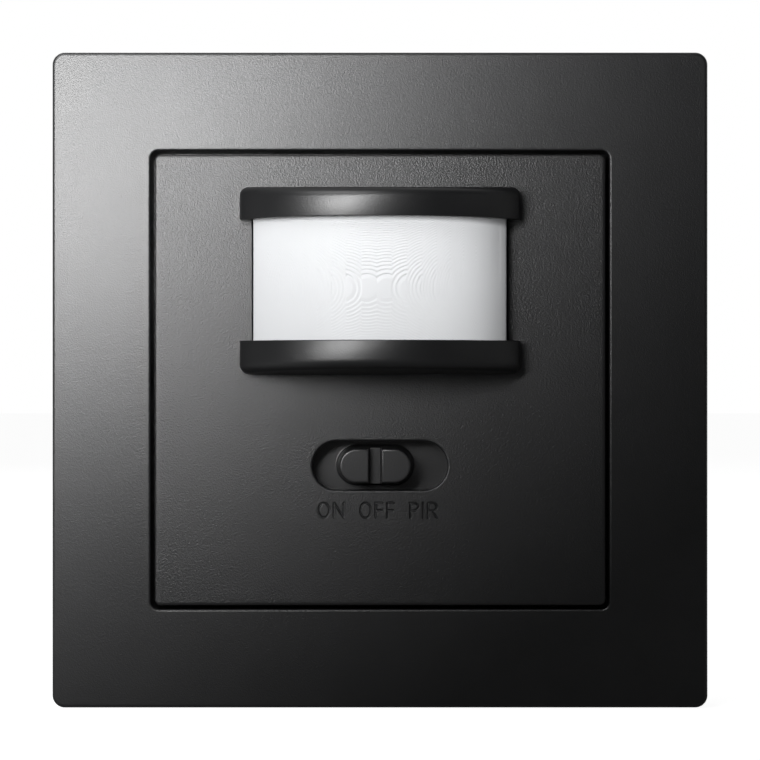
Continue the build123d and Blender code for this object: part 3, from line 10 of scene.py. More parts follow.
import bmesh
import bpy
import numpy as np
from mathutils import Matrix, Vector


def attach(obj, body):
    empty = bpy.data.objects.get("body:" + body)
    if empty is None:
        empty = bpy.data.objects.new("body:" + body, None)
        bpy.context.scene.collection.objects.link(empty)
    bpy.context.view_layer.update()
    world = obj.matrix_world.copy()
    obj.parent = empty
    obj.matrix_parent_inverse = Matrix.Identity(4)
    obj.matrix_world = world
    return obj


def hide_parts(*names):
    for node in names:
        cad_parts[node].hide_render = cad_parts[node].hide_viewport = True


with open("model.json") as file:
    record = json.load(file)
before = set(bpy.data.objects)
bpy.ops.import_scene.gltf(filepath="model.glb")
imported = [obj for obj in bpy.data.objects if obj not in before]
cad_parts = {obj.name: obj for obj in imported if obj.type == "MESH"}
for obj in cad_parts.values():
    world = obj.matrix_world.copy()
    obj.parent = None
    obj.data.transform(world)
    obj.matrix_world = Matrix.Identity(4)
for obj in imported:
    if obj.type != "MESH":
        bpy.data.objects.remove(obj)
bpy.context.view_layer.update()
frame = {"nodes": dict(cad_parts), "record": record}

MM = 0.001

# Meshes: doubles nearer than this are merged, and an edge bent by more than this many degrees stays sharp
MERGE_DISTANCE = 0.002
CREASE_ANGLE = 38.0
LEVEL_TOLERANCE = 1e-7
CORNER_STEPS = 10
ROUND_STEPS = 8
BLOCK_EDGE_R = 0.15
BLOCK_STEPS = 2

# Cover frame
FRAME_HALF = 40.0
FRAME_FRONT = 9.5
FRAME_CORNER_R = 1.5
FRAME_CORNER_STEPS = 12
FRAME_EDGE_R = 0.4
FRAME_WALL = 1.8
FRAME_FACE_T = 2.0
WINDOW_HALF = 28.0
WINDOW_CORNER_R = 1.0
WINDOW_EDGE_R = 0.28
WALL_RING = 1.0
COLLAR_HALF = 29.4
COLLAR_END = 3.0
COLLAR_CORNER_R = 0.4
LIP_HALF = 26.4
LIP_FRONT = 4.2
LIP_CORNER_R = 0.3
LIP_CHAMFER = 0.1
RIM_EDGE_R = 0.15

# Centre plate
PLATE_HALF = 27.5
PLATE_BACK = 7.7
PLATE_CORNER_R = 0.7
PLATE_EDGE_REACH = 0.4
PLATE_EDGE_DROP = 0.22
SKIRT_INNER_HALF = 26.3
SKIRT_END = 4.2
SKIRT_CORNER_R = 0.2
SKIRT_FOOT_R = 0.3
SLOT_HALF_W = 8.25
SLOT_HALF_H = 3.0
SLOT_Z = -10.46
SLOT_EDGE_R = 0.25
SLOT_STEPS = 24
HOLE_EDGE_STEPS = 5
WELL_END = 6.7
WELL_WALL = 1.6
FLAT_MARGIN = 0.05
EMBED = 0.05
RAIL_HALF_W = 10.0
RAIL_IN = 4.4
RAIL_OUT = 5.4
RAIL_LIP_IN = 3.6
RAIL_END = 4.7
RAIL_LIP_FRONT = 5.5
BOSS_X = 18.0
BOSS_Z = 6.5
BOSS_R = 1.5
BOSS_BORE_R = 0.75
BOSS_END = 6.9
LEG_X = 24.6
LEG_HALF_T = 0.6
LEG_HALF_W = 2.5
LEG_ROWS = (9.0, -19.0)
LEG_END = 0.2
BARB_T = 0.8
BARB_REACH = 0.7

# Brims over and under the lens
HEAD_Z = 12.12
HEAD_HALF_W = 17.05
HEAD_HALF_H = 11.425
HEAD_BOW_R = 21.504
HEAD_END_R = 1.6
HEAD_RIM_R = 1.1
HEAD_RIM_STEPS = 8
HEAD_DRAFT = math.tan(math.radians(3.8))
BOW_AXIS = -1.504
BOW_STEPS = 72
BOW_END_STEPS = 8
OPENING_HALF_H = 7.35
BRIM_WALL = 1.35
BRIM_LIP_R = 0.12
BRIM_LIP_STEPS = 3
BRIM_ROOT = 9.0
CAVITY_HALF_W = 15.55
CAVITY_HALF_H = 9.378
CAVITY_EDGE_R = 0.12
CAVITY_CORNER_R = 0.3
CAVITY_STEPS = 4

# Lens
LENS_HALF_W = 15.4
LENS_HALF_H = 8.55
LENS_R = 20.004
LENS_CORNER_R = 0.8
LENS_T = 0.7
LENS_REAR = 7.0
LENS_FOOT_T = 0.6
LENS_FOOT_REACH = 0.9
LENS_COLUMNS = 380
LENS_ROWS = 220
LENS_MARGIN_ROWS = 4
LENS_SHOWN_MARGIN = 0.5
LENS_WALL_H = 1.0
ZONE_ANGLE = math.radians(5.2)
ZONE_START = math.radians(-1.1)
ZONE_LEAN = math.radians(3.4)
RING_FIRST = 1.2
RING_COUNT = 1.13
RING_POWER = 1.52
RING_SLOPE = 0.2
RING_RISER = 0.25
RING_DROP = 1.2
RING_LOW_SHARE = 0.4
RING_SHARE_REACH = 1.2
RING_FADE = 0.4

# Knob and shutter
KNOB_X = -0.4
GRIP_X = -0.58
GRIP_HALF_W = 4.7
GRIP_HALF_H = 2.4
GRIP_TOP = 10.3
GRIP_TAPER = math.tan(math.radians(5.0))
GRIP_EDGE_R = 0.25
GRIP_ROOT_R = 0.2
GROOVE_HALF_W = 0.78
GROOVE_DEPTH = 1.4
GROOVE_EDGE_R = 0.16
GROOVE_FLOOR_R = 0.14
GROOVE_DRAFT = 0.05
GRIP_STEPS = 16
GRIP_EDGE_STEPS = 6
SHUTTER_FRONT = 6.5
SHUTTER_BACK = 5.7
SHUTTER_HALF_W = 12.45
SHUTTER_HALF_H = 4.2
SHUTTER_CORNER_R = 1.0
SHUTTER_EDGE_R = 0.12
PRONG_END = 3.3
PRONG_X = 1.6
PRONG_HALF_W = 0.5
PRONG_HALF_H = 1.4

# Engraved words
LABEL_Z = -15.9
LABEL_H = 2.0
LABEL_PEN = 0.2
LABEL_DEPTH = 0.2
LABEL_SOFT = 0.06
LABEL_GAP = 0.38
LABEL_STEP = 0.05
LABEL_BOX = (-8.0, 7.4, -17.25, -14.55)
LABEL_WORDS = (("ON", -5.95), ("OFF", -0.37), ("PIR", 5.3))
LETTER_WIDTHS = {"O": 0.75, "N": 0.7, "F": 0.5, "P": 0.6, "I": 0.125, "R": 0.625}
LETTER_STROKES = {
    "N": [((0, 0), (0, 1)), ((0, 1), (1, 0)), ((1, 0), (1, 1))],
    "F": [((0, 0), (0, 1)), ((0, 1), (1, 1)), ((0, 0.5), (0.85, 0.5))],
    "I": [((0, 0), (0, 1))],
    "P": [((0, 0), (0, 1)), ((0, 1), (0.5, 1)), ((0, 0.47), (0.5, 0.47))],
    "R": [((0, 0), (0, 1)), ((0, 1), (0.5, 1)), ((0, 0.47), (0.5, 0.47)), ((0.5, 0.47), (1, 0))],
}
BOWL_MIDDLE = 0.735
BOWL_HALF = 0.265
BOWL_STEPS = 16
O_STEPS = 40

# Finishes. A grain's depth is counted in this many millimetres
GRAIN_UNIT = 0.02
GRAIN_SLOW_SHARE = 0.03
NOISE_SPREAD = (0.3, 0.7)
RUBBED_PATCH = 12.0
RUBBED_SPREAD = (0.42, 0.68)
PLATING_SCALE = 180.0
PLATING_SPREAD = (0.35, 0.65)
PLATING_GLOSS_CHANGE = 0.06
METAL_RELIEF = 0.01
MILK = (0.74, 0.75, 0.765)
MILK_PALER = (0.76, 0.77, 0.785)
MILK_DRAW = 1.5
MILK_COAT = 0.3
MILK_COAT_IOR = 1.5
MILK_SPECULAR = 0.1
MILK_ROUGHNESS = 0.6
MILK_COAT_ROUGHNESS = (0.34, 0.42)
TRACK_PITCH = 2.54
TRACK_EDGE = (0.28, 0.34)
TRACK_RELIEF = 0.03
BOARD_CELLS = 130.0
BOARD_PATCH = 6.0
BOARD_RUBBED_SHARE = 0.25
BOARD_ROUGHNESS = (0.28, 0.36)
BOARD_MASK = (0.010, 0.085, 0.035, 1)
BOARD_TRACK = (0.035, 0.20, 0.085, 1)
BOARD_RUBBED = (0.05, 0.14, 0.07, 1)

# Floor and world: levels of light, and where along the way into the wall each change of level lies
FLOOR_HALF = 3000.0
FLOOR_GAP = 0.1
FLOOR_GREY = 0.30
FLOOR_SHINE = 0.94
FLOOR_MIRRORED_FROM_TO = (0.0, 0.1)
MATT_FILL = 0.1
GLOSS_IN_FRONT = 0.02
GLOSS_FROM_TO = (-0.1, 0.6)

# Lamps, in metres: name, place, point they face, width and height, radiance
LAMPS = (
    ("key", (-0.125, -0.200, 0.040), (-0.282, 0.0, 0.255), (0.279, 0.084), 19.8),
    ("upper key", (-0.106, -0.170, 0.233), (0.0, 0.0, 0.01), (0.16, 0.16), 3.8),
    ("right fill", (0.60, -0.30, 0.10), (0.0, 0.0, 0.01), (0.4, 0.5), 0.15),
    ("rear fill", (-0.25, 0.55, 0.45), (0.0, 0.02, 0.0), (0.5, 0.4), 2.6),
)

# Camera
VIEW_WIDTH = 92.74
VIEW_DISTANCE = 340.0
SENSOR = 36.0
NEAREST_SEEN = 10.0


def weave(rows, columns, wrap_rows=False, wrap_columns=False):
    """Quads between neighbours of a grid: point (r, c) has the number r * columns + c."""
    r, c = np.meshgrid(
        np.arange(rows if wrap_rows else rows - 1),
        np.arange(columns if wrap_columns else columns - 1),
        indexing="ij",
    )
    r_next, c_next = (r + 1) % rows, (c + 1) % columns
    quads = [r * columns + c, r * columns + c_next, r_next * columns + c_next, r_next * columns + c]
    return np.stack(quads, -1).reshape(-1, 4).tolist()


def quarter_turn(steps):
    """Angles from 0 to 90 degrees, in radians."""
    return np.radians(np.linspace(0, 90, steps + 1))


def square_loop(half_x, half_z, radius, centre=(0.0, 0.0), steps=CORNER_STEPS):
    """Closed loop of a rounded rectangle: in each corner x = half_x - radius + radius cos a and
    z = half_z - radius + radius sin a, with the corner's signs. With radius = half_z it is a stadium."""
    turn = np.linspace(0, np.pi / 2, steps + 1)
    quarter = np.arange(4)[:, None] * np.pi / 2
    angle = (quarter + turn).ravel()
    middle = (quarter + np.pi / 4 + 0 * turn).ravel()
    x = centre[0] + np.sign(np.cos(middle)) * (half_x - radius) + radius * np.cos(angle)
    z = centre[1] + np.sign(np.sin(middle)) * (half_z - radius) + radius * np.sin(angle)
    return np.stack([x, z], -1)


def loop_shell(profile, half, centre=(0.0, 0.0), closed=False, steps=CORNER_STEPS):
    """A profile of (inset, corner radius, f) carried round a rounded rectangle of these half sizes. A
    closed profile runs back to its own start."""
    rings = []
    for inset, radius, f in profile:
        loop = square_loop(half[0] - inset, half[1] - inset, radius, centre, steps)
        rings.append(np.stack([loop[:, 0], np.full(len(loop), f), loop[:, 1]], -1))
    points = np.concatenate(rings)
    return points, weave(len(rings), len(rings[0]), closed, True)


def rounding(radius, f, reach, drop):
    """Profile points of a quarter ellipse that ends at f: the inset grows by reach (1 - cos a) while the
    distance grows by drop sin a, and the loop's corner radius shrinks with the inset."""
    angle = quarter_turn(ROUND_STEPS)
    inwards = reach * (1 - np.cos(angle))
    return [(i, radius - i, f - drop + drop * math.sin(a)) for i, a in zip(inwards, angle)]


def lidded(points, faces, rings, count):
    """Closes a stack of rings with one flat face over its first and its last ring."""
    return points, faces + [list(range(count)), list(range((rings - 1) * count, rings * count))]


def prism(outline, axis, start, end):
    """An outline in two of the directions x, f and z, drawn out along the third."""
    flat = np.array(outline)
    rings = [np.insert(flat, axis, place, axis=1) for place in (start, end)]
    return lidded(np.concatenate(rings), weave(2, len(flat), wrap_columns=True), 2, len(flat))


def block(x, f, z):
    """A small block between two x, two f and two z values, with its four edges along f rounded."""
    centre = ((x[0] + x[1]) / 2, (z[0] + z[1]) / 2)
    half = ((x[1] - x[0]) / 2, (z[1] - z[0]) / 2)
    ends = [(0, BLOCK_EDGE_R, level) for level in f]
    points, faces = loop_shell(ends, half, centre, steps=BLOCK_STEPS)
    return lidded(points, faces, 2, len(points) // 2)


def make_piece(name, shells, flats=()):
    """Joins shells of points and faces into one mesh. The open edges at each distance in `flats` are
    filled with one flat face between them. Doubles are merged and the faces are turned outwards."""
    points = np.concatenate([shell[0] for shell in shells])
    faces = []
    start = 0
    for shell_points, shell_faces in shells:
        faces += [[start + number for number in face] for face in shell_faces]
        start += len(shell_points)
    coords = np.stack([points[:, 0], -points[:, 1], points[:, 2]], -1) * MM
    mesh = bpy.data.meshes.new(name)
    mesh.from_pydata(coords.tolist(), [], faces)
    shape = bmesh.new()
    shape.from_mesh(mesh)
    bmesh.ops.remove_doubles(shape, verts=shape.verts, dist=MERGE_DISTANCE * MM)
    for f in flats:
        rim = [edge for edge in shape.edges
               if edge.is_boundary
               and all(abs(vert.co.y + f * MM) < LEVEL_TOLERANCE for vert in edge.verts)]
        bmesh.ops.triangle_fill(shape, use_beauty=True, use_dissolve=False, edges=rim, normal=(0, -1, 0))
    bmesh.ops.recalc_face_normals(shape, faces=shape.faces)
    shape.to_mesh(mesh)
    shape.free()
    mesh.polygons.foreach_set("use_smooth", np.ones(len(mesh.polygons), bool))
    mesh.set_sharp_from_angle(angle=math.radians(CREASE_ANGLE))
    mesh.update()
    piece = bpy.data.objects.new(name, mesh)
    bpy.context.scene.collection.objects.link(piece)
    return piece


def build_cover_frame():
    """The frame is one closed profile carried round a square: wall, edge, face, window and collar."""
    half = (FRAME_HALF, FRAME_HALF)
    to_window = FRAME_HALF - WINDOW_HALF
    to_lip = FRAME_HALF - LIP_HALF
    to_collar = FRAME_HALF - COLLAR_HALF
    face_back = FRAME_FRONT - FRAME_FACE_T
    window_edge = []
    for angle in quarter_turn(ROUND_STEPS):
        back_off = WINDOW_EDGE_R * (1 - math.sin(angle))
        f = FRAME_FRONT - WINDOW_EDGE_R + WINDOW_EDGE_R * math.cos(angle)
        window_edge.append((to_window - back_off, WINDOW_CORNER_R + back_off, f))
    profile = [(RIM_EDGE_R, FRAME_CORNER_R - RIM_EDGE_R, 0.0)]
    profile += [(0, FRAME_CORNER_R, RIM_EDGE_R), (0, FRAME_CORNER_R, RIM_EDGE_R + WALL_RING)]
    profile += rounding(FRAME_CORNER_R, FRAME_FRONT, FRAME_EDGE_R, FRAME_EDGE_R)
    profile += [(FRAME_EDGE_R + FLAT_MARGIN, FRAME_CORNER_R - FRAME_EDGE_R - FLAT_MARGIN, FRAME_FRONT)]
    edge_inset, edge_radius, _ = window_edge[0]
    profile += [(edge_inset - FLAT_MARGIN, edge_radius + FLAT_MARGIN, FRAME_FRONT)]
    profile += window_edge
    profile += [(to_window, WINDOW_CORNER_R, LIP_FRONT)]
    profile += [(to_lip - LIP_CHAMFER, COLLAR_CORNER_R, LIP_FRONT)]
    profile += [(to_lip, LIP_CORNER_R, LIP_FRONT - LIP_CHAMFER)]
    profile += [(to_lip, LIP_CORNER_R, COLLAR_END + LIP_CHAMFER)]
    profile += [(to_lip - LIP_CHAMFER, COLLAR_CORNER_R, COLLAR_END)]
    profile += [(to_collar, COLLAR_CORNER_R, COLLAR_END), (to_collar, COLLAR_CORNER_R, face_back)]
    profile += [(FRAME_WALL, FRAME_CORNER_R, face_back), (FRAME_WALL, FRAME_CORNER_R, RIM_EDGE_R)]
    profile += [(FRAME_WALL - RIM_EDGE_R, FRAME_CORNER_R, 0.0)]
    return make_piece("cover_frame_shell", [loop_shell(profile, half, closed=True, steps=FRAME_CORNER_STEPS)])


def word_strokes():
    """Every pen stroke of the engraved words as straight pieces, each an (x, z) start and end. An O is
    one full turn, and the bowl of a P or an R half a turn."""
    strokes = []
    span_z = LABEL_H - LABEL_PEN
    turn = np.linspace(0, 2 * np.pi, O_STEPS + 1)
    bowl = np.linspace(np.pi / 2, -np.pi / 2, BOWL_STEPS + 1)
    for word, centre in LABEL_WORDS:
        widths = [LETTER_WIDTHS[name] * LABEL_H for name in word]
        left = centre - (sum(widths) + LABEL_GAP * (len(word) - 1)) / 2
        for name, width in zip(word, widths):
            x0, z0 = left + LABEL_PEN / 2, LABEL_Z - span_z / 2
            span_x = width - LABEL_PEN
            for start, end in LETTER_STROKES.get(name, []):
                strokes.append([(x0 + x * span_x, z0 + z * span_z) for x, z in (start, end)])
            arc = None
            if name == "O":
                arc = (x0 + span_x / 2 * (1 + np.cos(turn)), LABEL_Z + span_z / 2 * np.sin(turn))
            if name in "PR":
                arc = (x0 + span_x / 2 * (1 + np.cos(bowl)),
                       z0 + span_z * (BOWL_MIDDLE + BOWL_HALF * np.sin(bowl)))
            if arc is not None:
                dots = np.stack(arc, -1)
                strokes += np.stack([dots[:-1], dots[1:]], 1).tolist()
            left += width + LABEL_GAP
    return np.array(strokes)


def label_shell():
    """Fine grid over the engraved words. At distance d from the nearest stroke the depth is
    LABEL_DEPTH s, where s = 3t^2 - 2t^3 and t falls from 1 to 0 across the soft wall of the pen's cut.
    d is the length of p - a - u (b - a), with u the share of the stroke from a to b that is nearest."""
    left, right, low, high = LABEL_BOX
    x, z = np.meshgrid(
        np.linspace(left, right, round((right - left) / LABEL_STEP) + 1),
        np.linspace(low, high, round((high - low) / LABEL_STEP) + 1),
    )
    nearest = np.full(x.shape, right - left)
    for (ax, az), (bx, bz) in word_strokes():
        dx, dz = bx - ax, bz - az
        along = np.clip(((x - ax) * dx + (z - az) * dz) / (dx * dx + dz * dz), 0, 1)
        nearest = np.minimum(nearest, np.hypot(x - ax - along * dx, z - az - along * dz))
    t = np.clip((LABEL_PEN / 2 + LABEL_SOFT - nearest) / (2 * LABEL_SOFT), 0, 1)
    depth = LABEL_DEPTH * t * t * (3 - 2 * t)
    points = np.stack([x, FRAME_FRONT - depth, z], -1).reshape(-1, 3)
    return points, weave(*x.shape)


def hole_shell(half, radius, centre, edge_r, steps, well=False):
    """Rounded edge and wall of a hole through the plate, from a flat margin at the front to the back,
    with a collar behind it where there is a well.
    The edge is a quarter round: the hole widens by edge_r (1 - sin a) while f rises by edge_r cos a."""
    angle = quarter_turn(HOLE_EDGE_STEPS)
    widening = [edge_r + FLAT_MARGIN, *(edge_r * (1 - np.sin(angle)))]
    level = [FRAME_FRONT, *(FRAME_FRONT - edge_r + edge_r * np.cos(angle))]
    profile = [(-i, radius + i, f) for i, f in zip(widening, level)]
    if well:
        outer = (-WELL_WALL, radius + WELL_WALL)
        profile += [(0, radius, WELL_END), (*outer, WELL_END), (*outer, PLATE_BACK)]
    else:
        profile.append((0, radius, PLATE_BACK))
    return loop_shell(profile, half, centre, steps=steps)


def plate_fittings():
    """Behind the plate: rails with a lip for the shutter, bosses for the lens retainer's screws and
    latch legs with a barb."""
    root = PLATE_BACK + EMBED
    shells = []
    for side in (-1, 1):
        rail = [(RAIL_END, RAIL_LIP_IN), (RAIL_END, RAIL_OUT), (root, RAIL_OUT), (root, RAIL_IN),
                (RAIL_LIP_FRONT, RAIL_IN), (RAIL_LIP_FRONT, RAIL_LIP_IN)]
        rail = [(f, SLOT_Z + side * z) for f, z in rail]
        shells.append(prism(rail, 0, -RAIL_HALF_W, RAIL_HALF_W))
        inner, outer = LEG_X - LEG_HALF_T, LEG_X + LEG_HALF_T
        leg = [(inner, root), (inner, LEG_END), (outer, LEG_END), (outer + BARB_REACH, LEG_END + BARB_T / 2),
               (outer + BARB_REACH, LEG_END + BARB_T), (outer, LEG_END + BARB_T), (outer, root)]
        leg = [(side * x, f) for x, f in leg]
        shells += [prism(leg, 2, z - LEG_HALF_W, z + LEG_HALF_W) for z in LEG_ROWS]
        for rise in (-BOSS_Z, BOSS_Z):
            bore = BOSS_R - BOSS_BORE_R
            ring = [(0, BOSS_R, root), (0, BOSS_R, BOSS_END), (bore, BOSS_BORE_R, BOSS_END),
                    (bore, BOSS_BORE_R, root)]
            place = (side * BOSS_X, HEAD_Z + rise)
            shells.append(loop_shell(ring, (BOSS_R, BOSS_R), place, closed=True))
    return shells


def build_centre_plate():
    """Plate and skirt as one profile round a square, with the slot, the lens's hole and the words let
    into the flat face, and the rails, bosses and latch legs behind it."""
    half = (PLATE_HALF, PLATE_HALF)
    flat_inset = PLATE_EDGE_REACH + FLAT_MARGIN
    skirt = PLATE_HALF - SKIRT_INNER_HALF
    profile = [(flat_inset, PLATE_CORNER_R - flat_inset, FRAME_FRONT)]
    profile += rounding(PLATE_CORNER_R, FRAME_FRONT, PLATE_EDGE_REACH, PLATE_EDGE_DROP)[::-1]
    profile += [(0, PLATE_CORNER_R, SKIRT_END + RIM_EDGE_R)]
    profile += [(RIM_EDGE_R, PLATE_CORNER_R - RIM_EDGE_R, SKIRT_END)]
    profile += [(skirt - RIM_EDGE_R, SKIRT_FOOT_R, SKIRT_END)]
    profile += [(skirt, SKIRT_CORNER_R, SKIRT_END + RIM_EDGE_R), (skirt, SKIRT_CORNER_R, PLATE_BACK)]
    shells = [
        loop_shell(profile, half),
        hole_shell((SLOT_HALF_W, SLOT_HALF_H), SLOT_HALF_H, (0, SLOT_Z), SLOT_EDGE_R, SLOT_STEPS, well=True),
        hole_shell((CAVITY_HALF_W, CAVITY_HALF_H), CAVITY_CORNER_R, (0, HEAD_Z), CAVITY_EDGE_R, CAVITY_STEPS),
        label_shell(),
        *plate_fittings(),
    ]
    return make_piece("centre_plate_face", shells, flats=(FRAME_FRONT, PLATE_BACK))


def bow_line(inset, back, half_w=HEAD_HALF_W, bow_r=HEAD_BOW_R, corner_r=HEAD_END_R, bow_steps=BOW_STEPS):
    """Plan line `inset` inside a bowed wall, as x and f: from the back on the right it runs straight,
    turns x = m + (corner_r - inset) cos a round the corner's middle m, follows the bow
    x = (bow_r - inset) cos b about its axis, and comes back the same way on the left."""
    middle_x = half_w - corner_r
    reach = math.sqrt((bow_r - corner_r) ** 2 - middle_x**2)
    tip = math.atan2(reach, middle_x)
    corner = np.linspace(0, tip, BOW_END_STEPS + 1)
    bow = np.linspace(tip, np.pi - tip, bow_steps + 1)[1:-1]
    x_corner = middle_x + (corner_r - inset) * np.cos(corner)
    f_corner = BOW_AXIS + reach + (corner_r - inset) * np.sin(corner)
    x = [half_w - inset, *x_corner, *((bow_r - inset) * np.cos(bow)), *-x_corner[::-1], inset - half_w]
    f = [back, *f_corner, *(BOW_AXIS + (bow_r - inset) * np.sin(bow)), *f_corner[::-1], back]
    return np.array(x), np.array(f)


def build_brim(name, side):
    """One brim: the section from its ceiling over the lip, the front wall and the rounded rim to the top
    is carried along the bowed plan line. The top leans by HEAD_DRAFT, so its height falls with f."""
    rim = quarter_turn(HEAD_RIM_STEPS)
    lip = quarter_turn(BRIM_LIP_STEPS)
    open_z = OPENING_HALF_H
    section = [(BRIM_WALL, CAVITY_HALF_H, 0.0), (BRIM_WALL, open_z + BRIM_LIP_R + FLAT_MARGIN, 0.0)]
    section += [(BRIM_WALL - BRIM_LIP_R * (1 - math.cos(a)), open_z + BRIM_LIP_R * (1 - math.sin(a)), 0.0)
                for a in lip]
    section += [(BRIM_LIP_R * (1 - math.sin(a)), open_z + BRIM_LIP_R * (1 - math.cos(a)), 0.0) for a in lip]
    section += [(HEAD_RIM_R * (1 - math.cos(a)), HEAD_HALF_H - HEAD_RIM_R + HEAD_RIM_R * math.sin(a), 1.0)
                for a in rim]
    section += [(HEAD_RIM_R + FLAT_MARGIN, HEAD_HALF_H, 1.0)]
    rows = []
    for inset, height, leaning in section:
        x, f = bow_line(inset, BRIM_ROOT)
        z = height - leaning * HEAD_DRAFT * (f - FRAME_FRONT)
        rows.append(np.stack([x, f, HEAD_Z + side * z], -1))
    count = len(rows[0])
    points, faces = lidded(np.concatenate(rows), weave(len(rows), count), len(rows), count)
    starts = [row * count for row in range(len(rows))]
    ends = [row * count + count - 1 for row in range(len(rows))]
    faces.append(starts + ends[::-1])
    return make_piece(name, [(points, faces)])


def ring_relief(x, rise):
    """Depth of the prism rings under the lens's outer face, on the sheet unrolled to s = R asin(x / R).
    Upright zones of equal angle, numbered u from the middle, each have rings about a point of their own
    RING_DROP below mid-height, which leans outwards by ZONE_LEAN u |u| / (|u| + 1/2). At distance r from
    it, n = RING_COUNT ((r / RING_FIRST)^RING_POWER - 1) rings lie inside, each a ramp t = n - floor(n)
    that falls back over the last RING_RISER of its width. The ramps keep one slope, so their depth is
    RING_SLOPE times the local ring width 1 / (dn / dr). Below mid-height RING_LOW_SHARE of it is left,
    with a steady change over RING_SHARE_REACH on both sides of mid-height."""
    turn = np.arcsin(np.clip(x / LENS_R, -1, 1))
    zone = np.floor((turn - ZONE_START) / ZONE_ANGLE) + 0.5
    middle = ZONE_START + zone * ZONE_ANGLE + ZONE_LEAN * zone * np.abs(zone) / (np.abs(zone) + 0.5)
    r = np.maximum(np.hypot(LENS_R * (turn - middle), rise + RING_DROP), RING_FIRST)
    rings = RING_COUNT * ((r / RING_FIRST) ** RING_POWER - 1)
    width = RING_FIRST / (RING_COUNT * RING_POWER * (r / RING_FIRST) ** (RING_POWER - 1))
    ramp = rings - np.floor(rings)
    saw = np.minimum(ramp / (1 - RING_RISER), (1 - ramp) / RING_RISER)
    fade = np.clip((OPENING_HALF_H + RING_FADE - np.abs(rise)) / RING_FADE, 0, 1)
    share = np.interp(rise, (-RING_SHARE_REACH, RING_SHARE_REACH), (RING_LOW_SHARE, 1.0))
    return RING_SLOPE * width * saw * fade * share


def build_lens():
    """Curved sheet whose outer face carries shallow prism rings. The section runs up the outer face row
    by row, then down the inner face, and is carried along the bowed plan line."""
    x_out, f_out = bow_line(0, LENS_REAR, LENS_HALF_W, LENS_R, LENS_CORNER_R, LENS_COLUMNS)
    x_in, f_in = bow_line(LENS_T, LENS_REAR, LENS_HALF_W, LENS_R, LENS_CORNER_R, LENS_COLUMNS)
    shown = OPENING_HALF_H + LENS_SHOWN_MARGIN
    heights = np.concatenate([
        np.linspace(-LENS_HALF_H, -shown, LENS_MARGIN_ROWS, endpoint=False),
        np.linspace(-shown, shown, LENS_ROWS),
        np.linspace(LENS_HALF_H, shown, LENS_MARGIN_ROWS, endpoint=False)[::-1],
    ])
    rise = heights[:, None] + 0 * x_out
    along = x_out + 0 * rise
    on_bow = (np.abs(along) < LENS_HALF_W - LENS_CORNER_R) & (f_out > LENS_REAR + LENS_WALL_H)
    depth = np.where(on_bow, ring_relief(along, rise), 0.0)
    outer = np.stack([
        along - depth * along / LENS_R,
        f_out - depth * np.sqrt(np.clip(1 - (along / LENS_R) ** 2, 0, 1)),
        HEAD_Z + rise,
    ], -1)
    inner = [np.stack([x_in, f_in, np.full(len(x_in), HEAD_Z + height)], -1) for height in heights[[-1, 0]]]
    points = np.concatenate([outer.reshape(-1, 3), *inner])
    rows, columns = len(heights) + 2, len(x_out)
    faces = weave(rows, columns, wrap_rows=True)
    faces += [[row * columns for row in range(rows)], [row * columns + columns - 1 for row in range(rows)]]
    shells = [(points, faces)]
    foot = LENS_HALF_W - LENS_T / 2
    for x in ((foot, LENS_HALF_W + LENS_FOOT_REACH), (-LENS_HALF_W - LENS_FOOT_REACH, -foot)):
        shells.append(block(x, (LENS_REAR, LENS_REAR + LENS_FOOT_T),
                            (HEAD_Z - LENS_HALF_H, HEAD_Z + LENS_HALF_H)))
    return make_piece("lens_sheet", shells)


def grip_levels():
    """Outline inset, half width of the groove and distance f of each level of the grip, from its hollow
    root over the tapered wall to the rounded top, and the number of the level of the groove's floor.
    Rounds follow the quarter circles 1 - cos a, sin a."""
    quarter = quarter_turn(GRIP_EDGE_STEPS)
    floor = GRIP_TOP - GROOVE_DEPTH
    low = GROOVE_HALF_W - GROOVE_DRAFT
    levels = [(-GRIP_ROOT_R, low, SHUTTER_FRONT - EMBED)]
    levels += [(GRIP_ROOT_R * (math.sin(a) - 1), low, SHUTTER_FRONT + GRIP_ROOT_R * (1 - math.cos(a)))
               for a in quarter]
    levels += [((floor - SHUTTER_FRONT) * GRIP_TAPER, low - GROOVE_FLOOR_R, floor)]
    bend = floor + GROOVE_FLOOR_R
    levels += [((bend - SHUTTER_FRONT) * GRIP_TAPER, low, bend)]
    top = (GRIP_TOP - SHUTTER_FRONT) * GRIP_TAPER
    levels += [(top + GRIP_EDGE_R * (1 - math.cos(a)), GROOVE_HALF_W + GROOVE_EDGE_R * (1 - math.cos(a)),
                GRIP_TOP - GRIP_EDGE_R * (1 - math.sin(a))) for a in quarter]
    levels += [(top + GRIP_EDGE_R + FLAT_MARGIN, GROOVE_HALF_W + GROOVE_EDGE_R + FLAT_MARGIN, GRIP_TOP)]
    return levels, len(quarter) + 1


